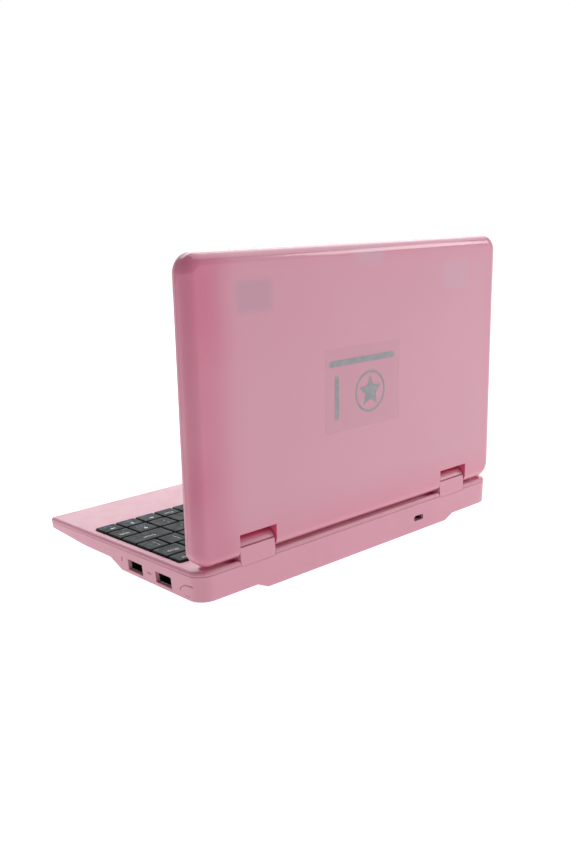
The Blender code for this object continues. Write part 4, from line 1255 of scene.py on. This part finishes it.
def make_deck_controls(case):
    middle = -7 * MM
    half = 24 * MM
    make_in_deck(
        case, "touch_surface", (middle - half, -58 * MM, -1.6 * MM),
        (middle + half, -33.5 * MM, -0.4 * MM), "bezel", "pink_shell", "touchpad", "base", 1.5 * MM,
        rim=0.15 * MM,
    )
    for side in (-1, 1):
        low_x, high_x = across(side, 0.3 * MM, half)
        node = f"touchpad_button_{side_name(side)}"
        make_in_deck(
            case, f"{node}_cap", (middle + low_x, -66.5 * MM, -1.8 * MM),
            (middle + high_x, -60.5 * MM, 0.2 * MM), "shell", "pink_shell", node, node, rim=0.5 * MM,
        )
    x, y, radius = -88 * MM, 58.4 * MM, 3.6 * MM
    cut(case, rod("power opening", radius + GAP, (x, y, -FAR), (x, y, FAR), DECK))
    profile = [
        (0, 0.12 * MM), (radius * 0.5, 0.14 * MM), (radius - 0.9 * MM, 0.2 * MM), (radius - 0.6 * MM, 0.3 * MM),
        (radius - 0.25 * MM, 0.25 * MM), (radius, -0.05 * MM), (radius, -1.8 * MM), (0, -1.8 * MM),
    ]
    button = lathe("power_button_cap", profile, DECK, "silver", (x, y, 0))
    finish(button, "power_button", "silver_plastic", "power_button")
    finish(make_power_mark(x, y), "power_button", "silver_plastic")
    make_in_deck(
        case, "indicator_bar", (70 * MM, 57.6 * MM, -1.6 * MM), (90 * MM, 59.2 * MM, 0.05 * MM),
        "lens", "light_pipe", "indicator_lens", "base", rim=0.12 * MM,
    )


def make_power_mark(x, y):
    """The usual on and off sign: an open ring and a bar, lying in the button's hollow."""
    bm = bmesh.new()
    inner, outer = 0.95 * MM, 1.3 * MM
    steps = 24
    low, high = 0.12 * MM, 0.22 * MM
    loops = []
    for i in range(steps + 1):
        angle = math.radians(125 + 290 * i / steps)
        u, v = math.cos(angle), math.sin(angle)
        loops.append([
            bm.verts.new((x + u * r, y + v * r, z))
            for r, z in ((inner, low), (outer, low), (outer, high), (inner, high))
        ])
    skin(bm, loops)
    outline = rounded_outline((x - 0.17 * MM, y + 0.3 * MM), (x + 0.17 * MM, y + 1.5 * MM), 0.1 * MM)
    skin(bm, [[bm.verts.new((u, v, z)) for u, v in outline] for z in (low, high)])
    return add("power_mark", bm, DECK, "black")


# ---------------------------------------------------------------- lid


def notch_cutter(name, side, wall, depth=NOTCH_DEPTH):
    low_x, high_x = across(side, NOTCH[0] - wall, NOTCH[1] + wall)
    return block(
        f"{name} {side_name(side)}", (low_x, LID_REAR - depth - wall, -FAR),
        (high_x, LID_REAR + FAR, FAR), LID,
    )


def make_back_cover():
    half = WIDTH / 2
    cover = block(
        "lid_shell", (-half, LID_FRONT, COVER_RIM), (half, LID_REAR, LID_OUTER), LID, "lid",
        corners=(LID_CORNER, LID_CORNER), steps=18, rim=LID_ROUND, rim_steps=16,
    )
    hollow = block(
        "cover hollow", (-half + WALL, LID_FRONT + WALL, -FAR),
        (half - WALL, LID_REAR - WALL, LID_OUTER - WALL),
        LID, corners=(LID_CORNER - WALL, LID_CORNER - WALL), rim=LID_ROUND - WALL,
    )
    for side in (-1, 1):
        cut(hollow, notch_cutter("notch wall", side, WALL))
    cut(cover, hollow)
    for side in (-1, 1):
        inner = side * NOTCH[0]
        cut(cover, notch_cutter("cover notch", side, 0))
        cut(cover, rod(
            f"cover pin hole {side_name(side)}", PIN_RADIUS + 2 * GAP, (inner - side * (WALL + MM), 0, 0),
            (inner + side * MM, 0, 0), LID,
        ))
    finish(cover, "lid", "pink_gloss", "lid_back_cover", edge=0.2 * MM, steps=3)


def make_bezel():
    half = WIDTH / 2
    bezel = block(
        "lid_frame", (-half, LID_FRONT, LID_INNER), (half, LID_REAR, BEZEL_BACK), LID, "bezel",
        corners=(LID_CORNER, LID_CORNER), steps=18,
    )
    half_x, half_y = SCREEN[0] / 2 + 0.6 * MM, SCREEN[1] / 2 + 0.6 * MM
    cut(bezel, block(
        "screen opening", (-half_x, SCREEN_Y - half_y, LID_INNER - FAR),
        (half_x, SCREEN_Y + half_y, BEZEL_BACK + FAR), LID,
    ))
    slope = 1.1 * MM
    cut(bezel, block(
        "screen slope", (-half_x - 2 * slope, SCREEN_Y - half_y - 2 * slope, LID_INNER - slope),
        (half_x + 2 * slope, SCREEN_Y + half_y + 2 * slope, LID_INNER + slope), LID,
        taper=(2 * slope, 2 * slope),
    ))
    cut(bezel, rod("camera hole", 2.6 * MM, (0, -131.4 * MM, -FAR), (0, -131.4 * MM, FAR), LID))
    for side in (-1, 1):
        word = side_name(side)
        cut(bezel, notch_cutter("bezel notch", side, 0, BEZEL_NOTCH_DEPTH))
        for i in range(5):
            y = SCREEN_Y + (i - 2) * 4 * MM
            low_x, high_x = across(side, 84 * MM, 100 * MM)
            outline = rounded_outline((low_x, y - 0.7 * MM), (high_x, y + 0.7 * MM), 0.69 * MM)
            bm = bmesh.new()
            skin(bm, [
                [bm.verts.new((u, v, z)) for u, v in outline]
                for z in (LID_INNER - FAR, BEZEL_BACK + MM)
            ])
            cut(bezel, add(f"speaker slot {word} {i}", bm, LID))
        x, y, radius = side * 96 * MM, -130 * MM, 2.3 * MM
        seat = LID_INNER + 0.8 * MM
        cut(bezel, rod(f"bumper seat {word}", radius + GAP, (x, y, LID_INNER - FAR), (x, y, seat), LID))
        top, bottom = seat - GAP, LID_INNER - 0.9 * MM
        profile = [
            (0, top), (radius, top), (radius, bottom + 0.45 * MM), (radius - 0.12 * MM, bottom + 0.15 * MM),
            (radius - 0.4 * MM, bottom), (0, bottom),
        ]
        bumper = lathe(f"rubber_bumper_{word}", profile, LID, "rubber", (x, y, 0))
        finish(bumper, "lid", "rubber", f"lid_bumper_{word}")
    finish(bezel, "lid", "pink_bezel", "lid_bezel", edge=0.15 * MM, steps=3)


def make_display():
    half_x, half_y = SCREEN[0] / 2, SCREEN[1] / 2
    glass = block(
        "display_surface", (-half_x, SCREEN_Y - half_y, BEZEL_BACK - 0.6 * MM),
        (half_x, SCREEN_Y + half_y, BEZEL_BACK), LID, "glass",
    )
    finish(glass, "lid", "screen_glass", "screen_window", edge=0.15 * MM)
    module = block(
        "camera_module", (-9 * MM, -134.4 * MM, COVER_EDGE), (9 * MM, -128.4 * MM, COVER_EDGE + 3.6 * MM),
        LID, "black",
    )
    finish(module, "lid", "black_plastic", "webcam", edge=0.3 * MM)
    place, turn = (0, -131.4 * MM, 0), Matrix.Rotation(math.pi, 4, "X")
    face = -LID_INNER - 0.3 * MM
    barrel = [
        (0, 0), (2.2 * MM, 0), (2.2 * MM, face - 0.15 * MM), (2.05 * MM, face), (1.7 * MM, face),
        (1.15 * MM, face - 0.5 * MM), (0, face - 0.5 * MM),
    ]
    finish(lathe("camera_barrel", barrel, LID, "black", place, turn), "lid", "black_plastic")
    dome = [(0, face - 0.22 * MM), (0.5 * MM, face - 0.26 * MM), (0.9 * MM, face - 0.36 * MM),
            (1.12 * MM, face - 0.49 * MM), (0, face - 0.49 * MM)]
    finish(lathe("camera_eye", dome, LID, "eye", place, turn), "lid", "screen_glass")


def flat_shape(bm, points, thick, low, index=0):
    """A flat polygon of (x, y) points made solid upwards from low, in the lid's frame."""
    ends = [[bm.verts.new((u, v, z)) for u, v in points] for z in (low, low + thick)]
    for face in skin(bm, ends):
        face.material_index = index


def make_lid_print():
    """A plain grey star in a ring, and two plain bars, on a clear sticker."""
    thick = 0.03 * MM
    film = bmesh.new()
    flat_shape(
        film, rounded_outline((-25 * MM, -88 * MM), (28 * MM, -46 * MM), 1.5 * MM), thick, LID_OUTER + 0.01 * MM
    )
    finish(add("lid_sticker_film", film, LID, "film"), "lid", "pink_gloss")
    low = LID_OUTER + 0.05 * MM
    mark = bmesh.new()
    flat_shape(mark, rounded_outline((-21 * MM, -82 * MM), (25 * MM, -79 * MM), 1.4 * MM), thick, low)
    flat_shape(mark, rounded_outline((18.6 * MM, -74.5 * MM), (21.4 * MM, -52.5 * MM), 1.3 * MM), thick, low)
    centre = Vector((-3.5 * MM, -63.5 * MM))
    star = []
    for i in range(10):
        radius = (8.2 if i % 2 == 0 else 3.9) * MM
        angle = math.radians(-90 + 36 * i)
        star.append((centre.x + radius * math.cos(angle), centre.y + radius * math.sin(angle)))
    flat_shape(mark, star, thick, low)
    loops = []
    for i in range(64):
        angle = math.tau * i / 64
        u, v = math.cos(angle), math.sin(angle)
        loops.append([
            mark.verts.new((centre.x + u * r, centre.y + v * r, z))
            for r, z in ((9.6 * MM, low), (10.7 * MM, low), (10.7 * MM, low + thick), (9.6 * MM, low + thick))
        ])
    skin(mark, [*loops, loops[0]], first=False, last=False)
    finish(add("lid_print", mark, LID, "print"), "lid", "pink_gloss")


# ---------------------------------------------------------------- carried-over nodes


CARRIED = {
    "steel": ("hinge_bracket_left", "hinge_bracket_right", "hinge_arm_left", "hinge_arm_right",
              "hinge_pin_left", "hinge_pin_right"),
    "board": ("mainboard",),
    "pouch": ("battery_pack",),
    "panel": ("lcd_panel",),
    "cloth": ("speaker_left", "speaker_right"),
    "foil": ("antenna_left", "antenna_right"),
    "black": ("keyboard_tray",),
    "rubber": ("keyboard_membrane",),
}


def dress_carried_nodes():
    for look, names in CARRIED.items():
        for name in names:
            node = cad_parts[name]
            node.data.materials.clear()
            node.data.materials.append(LOOKS[look].material)


# ---------------------------------------------------------------- stage


WORLD_LIGHT = 0.28
FLOOR_GLOW = 0.95
SHEET_GLOW = 0.93
SHEET_EDGE = (-0.11, 0.211, math.radians(31.5))  # a point on the table sheet's far edge, and how it is turned
# name, place, target, size, watts
LIGHTS = (
    ("key", (-0.6, 0.52, 0.4), (-0.08, 0.07, 0.08), (0.3, 0.3), 1.5),
    ("top", (-0.65, 0.05, 1.3), (0, 0, 0.1), (1.5, 1.5), 10.5),
    ("back", (-1.5, -1.75, 1.2), (0, 0, 0.1), (3.4, 2.4), 42.0),
    ("side", (0.34, -0.34, 0.07), (0.1, -0.02, 0.01), (0.12, 0.12), 0.3),
)


def make_sheet(name, low, high, at, colour, glow):
    bm = bmesh.new()
    corners = [(low[0], low[1]), (high[0], low[1]), (high[0], high[1]), (low[0], high[1])]
    bm.faces.new([bm.verts.new((x, y, 0)) for x, y in corners])
    mesh = bpy.data.meshes.new(name)
    bm.to_mesh(mesh)
    bm.free()
    look = Look(name, colour, 0.6, Emission_Color=(1, 1, 1, 1), Emission_Strength=glow)
    look.mottle(0.4, 0.01)
    mesh.materials.append(look.material)
    obj = bpy.data.objects.new(name, mesh)
    obj.matrix_world = at
    bpy.context.scene.collection.objects.link(obj)


def make_floor():
    make_sheet(
        "floor", (-12, -12), (12, 12), Matrix.Translation((0, 0, -0.4 * MM)), (0.2, 0.2, 0.2), FLOOR_GLOW
    )
    x, y, turn = SHEET_EDGE
    at = Matrix.Translation((x, y, -0.1 * MM)) @ Matrix.Rotation(turn, 4, "Z")
    make_sheet("table_sheet", (-1.2, -1.8), (1.2, 0), at, (0.28, 0.28, 0.28), SHEET_GLOW)


def make_light(name, place, target, size, power):
    data = bpy.data.lights.new(name, "AREA")
    data.shape = "RECTANGLE"
    data.size, data.size_y = size
    data.energy = power
    light = bpy.data.objects.new(name, data)
    light.visible_camera = False
    light.visible_glossy = name != "side"
    light.location = place
    light.rotation_mode = "QUATERNION"
    light.rotation_quaternion = (Vector(target) - Vector(place)).to_track_quat("-Z", "Y")
    bpy.context.scene.collection.objects.link(light)


def make_world():
    world = bpy.data.worlds.new("studio")
    bpy.context.scene.world = world
    world.use_nodes = True
    tree = world.node_tree
    tree.nodes.clear()
    seen = tree.nodes.new("ShaderNodeLightPath")
    mix = tree.nodes.new("ShaderNodeMixShader")
    out = tree.nodes.new("ShaderNodeOutputWorld")
    for number, strength in ((1, WORLD_LIGHT), (2, 1.0)):
        back = tree.nodes.new("ShaderNodeBackground")
        back.inputs["Color"].default_value = (1, 1, 1, 1)
        back.inputs["Strength"].default_value = strength
        tree.links.new(back.outputs[0], mix.inputs[number])
    tree.links.new(seen.outputs["Is Camera Ray"], mix.inputs[0])
    tree.links.new(mix.outputs[0], out.inputs["Surface"])


def make_camera():
    data = bpy.data.cameras.new("camera")
    data.sensor_width = 36
    data.lens = 37.048
    data.shift_y = -0.02165
    data.clip_start, data.clip_end = 0.01, 50
    camera = bpy.data.objects.new("camera", data)
    camera.location = (0.316788, 0.384846, 0.161662)
    camera.rotation_euler = [math.radians(a) for a in (79.17273, 3.25699, 139.02279)]
    bpy.context.scene.collection.objects.link(camera)
    bpy.context.scene.camera = camera


def make_studio():
    make_floor()
    make_world()
    for light in LIGHTS:
        make_light(*light)
    make_camera()
    bpy.context.scene.view_settings.view_transform = "Standard"


def main():
    case = make_bottom_case()
    make_feet()
    for place, y in zip(("front", "rear"), USB_Y):
        make_usb_socket(case, place, y)
    make_left_ports(case)
    make_lock_slot(case)
    make_side_marks(case)
    settle(case)
    split_inner_faces(case)
    finish(case, "base", "pink_shell", "bottom_case", edge=0.15 * MM)

    hatch = block(
        "hatch_panel", (-70 * MM, 14 * MM, FLOOR), (10 * MM, 36 * MM, FLOOR + WALL), BASE, "shell",
        corners=(2.7 * MM, 2.7 * MM), steps=8,
    )
    for i in range(5):
        y = (19 + 3 * i) * MM
        cut(hatch, block(
            f"grip groove {i}", (-60 * MM, y - 0.5 * MM, FLOOR - MM), (-48 * MM, y + 0.5 * MM, FLOOR + 0.5 * MM),
            BASE,
        ))
    finish(hatch, "base", "pink_shell", "hatch_cover", edge=0.15 * MM)

    deck = make_top_case()
    make_keyboard(deck)
    make_deck_controls(deck)
    finish(deck, "base", "pink_shell", "top_case", edge=0.15 * MM, steps=3)

    make_back_cover()
    make_bezel()
    make_display()
    make_lid_print()
    dress_carried_nodes()
    for helper in HELPERS:
        bpy.data.objects.remove(helper)
    make_studio()


main()
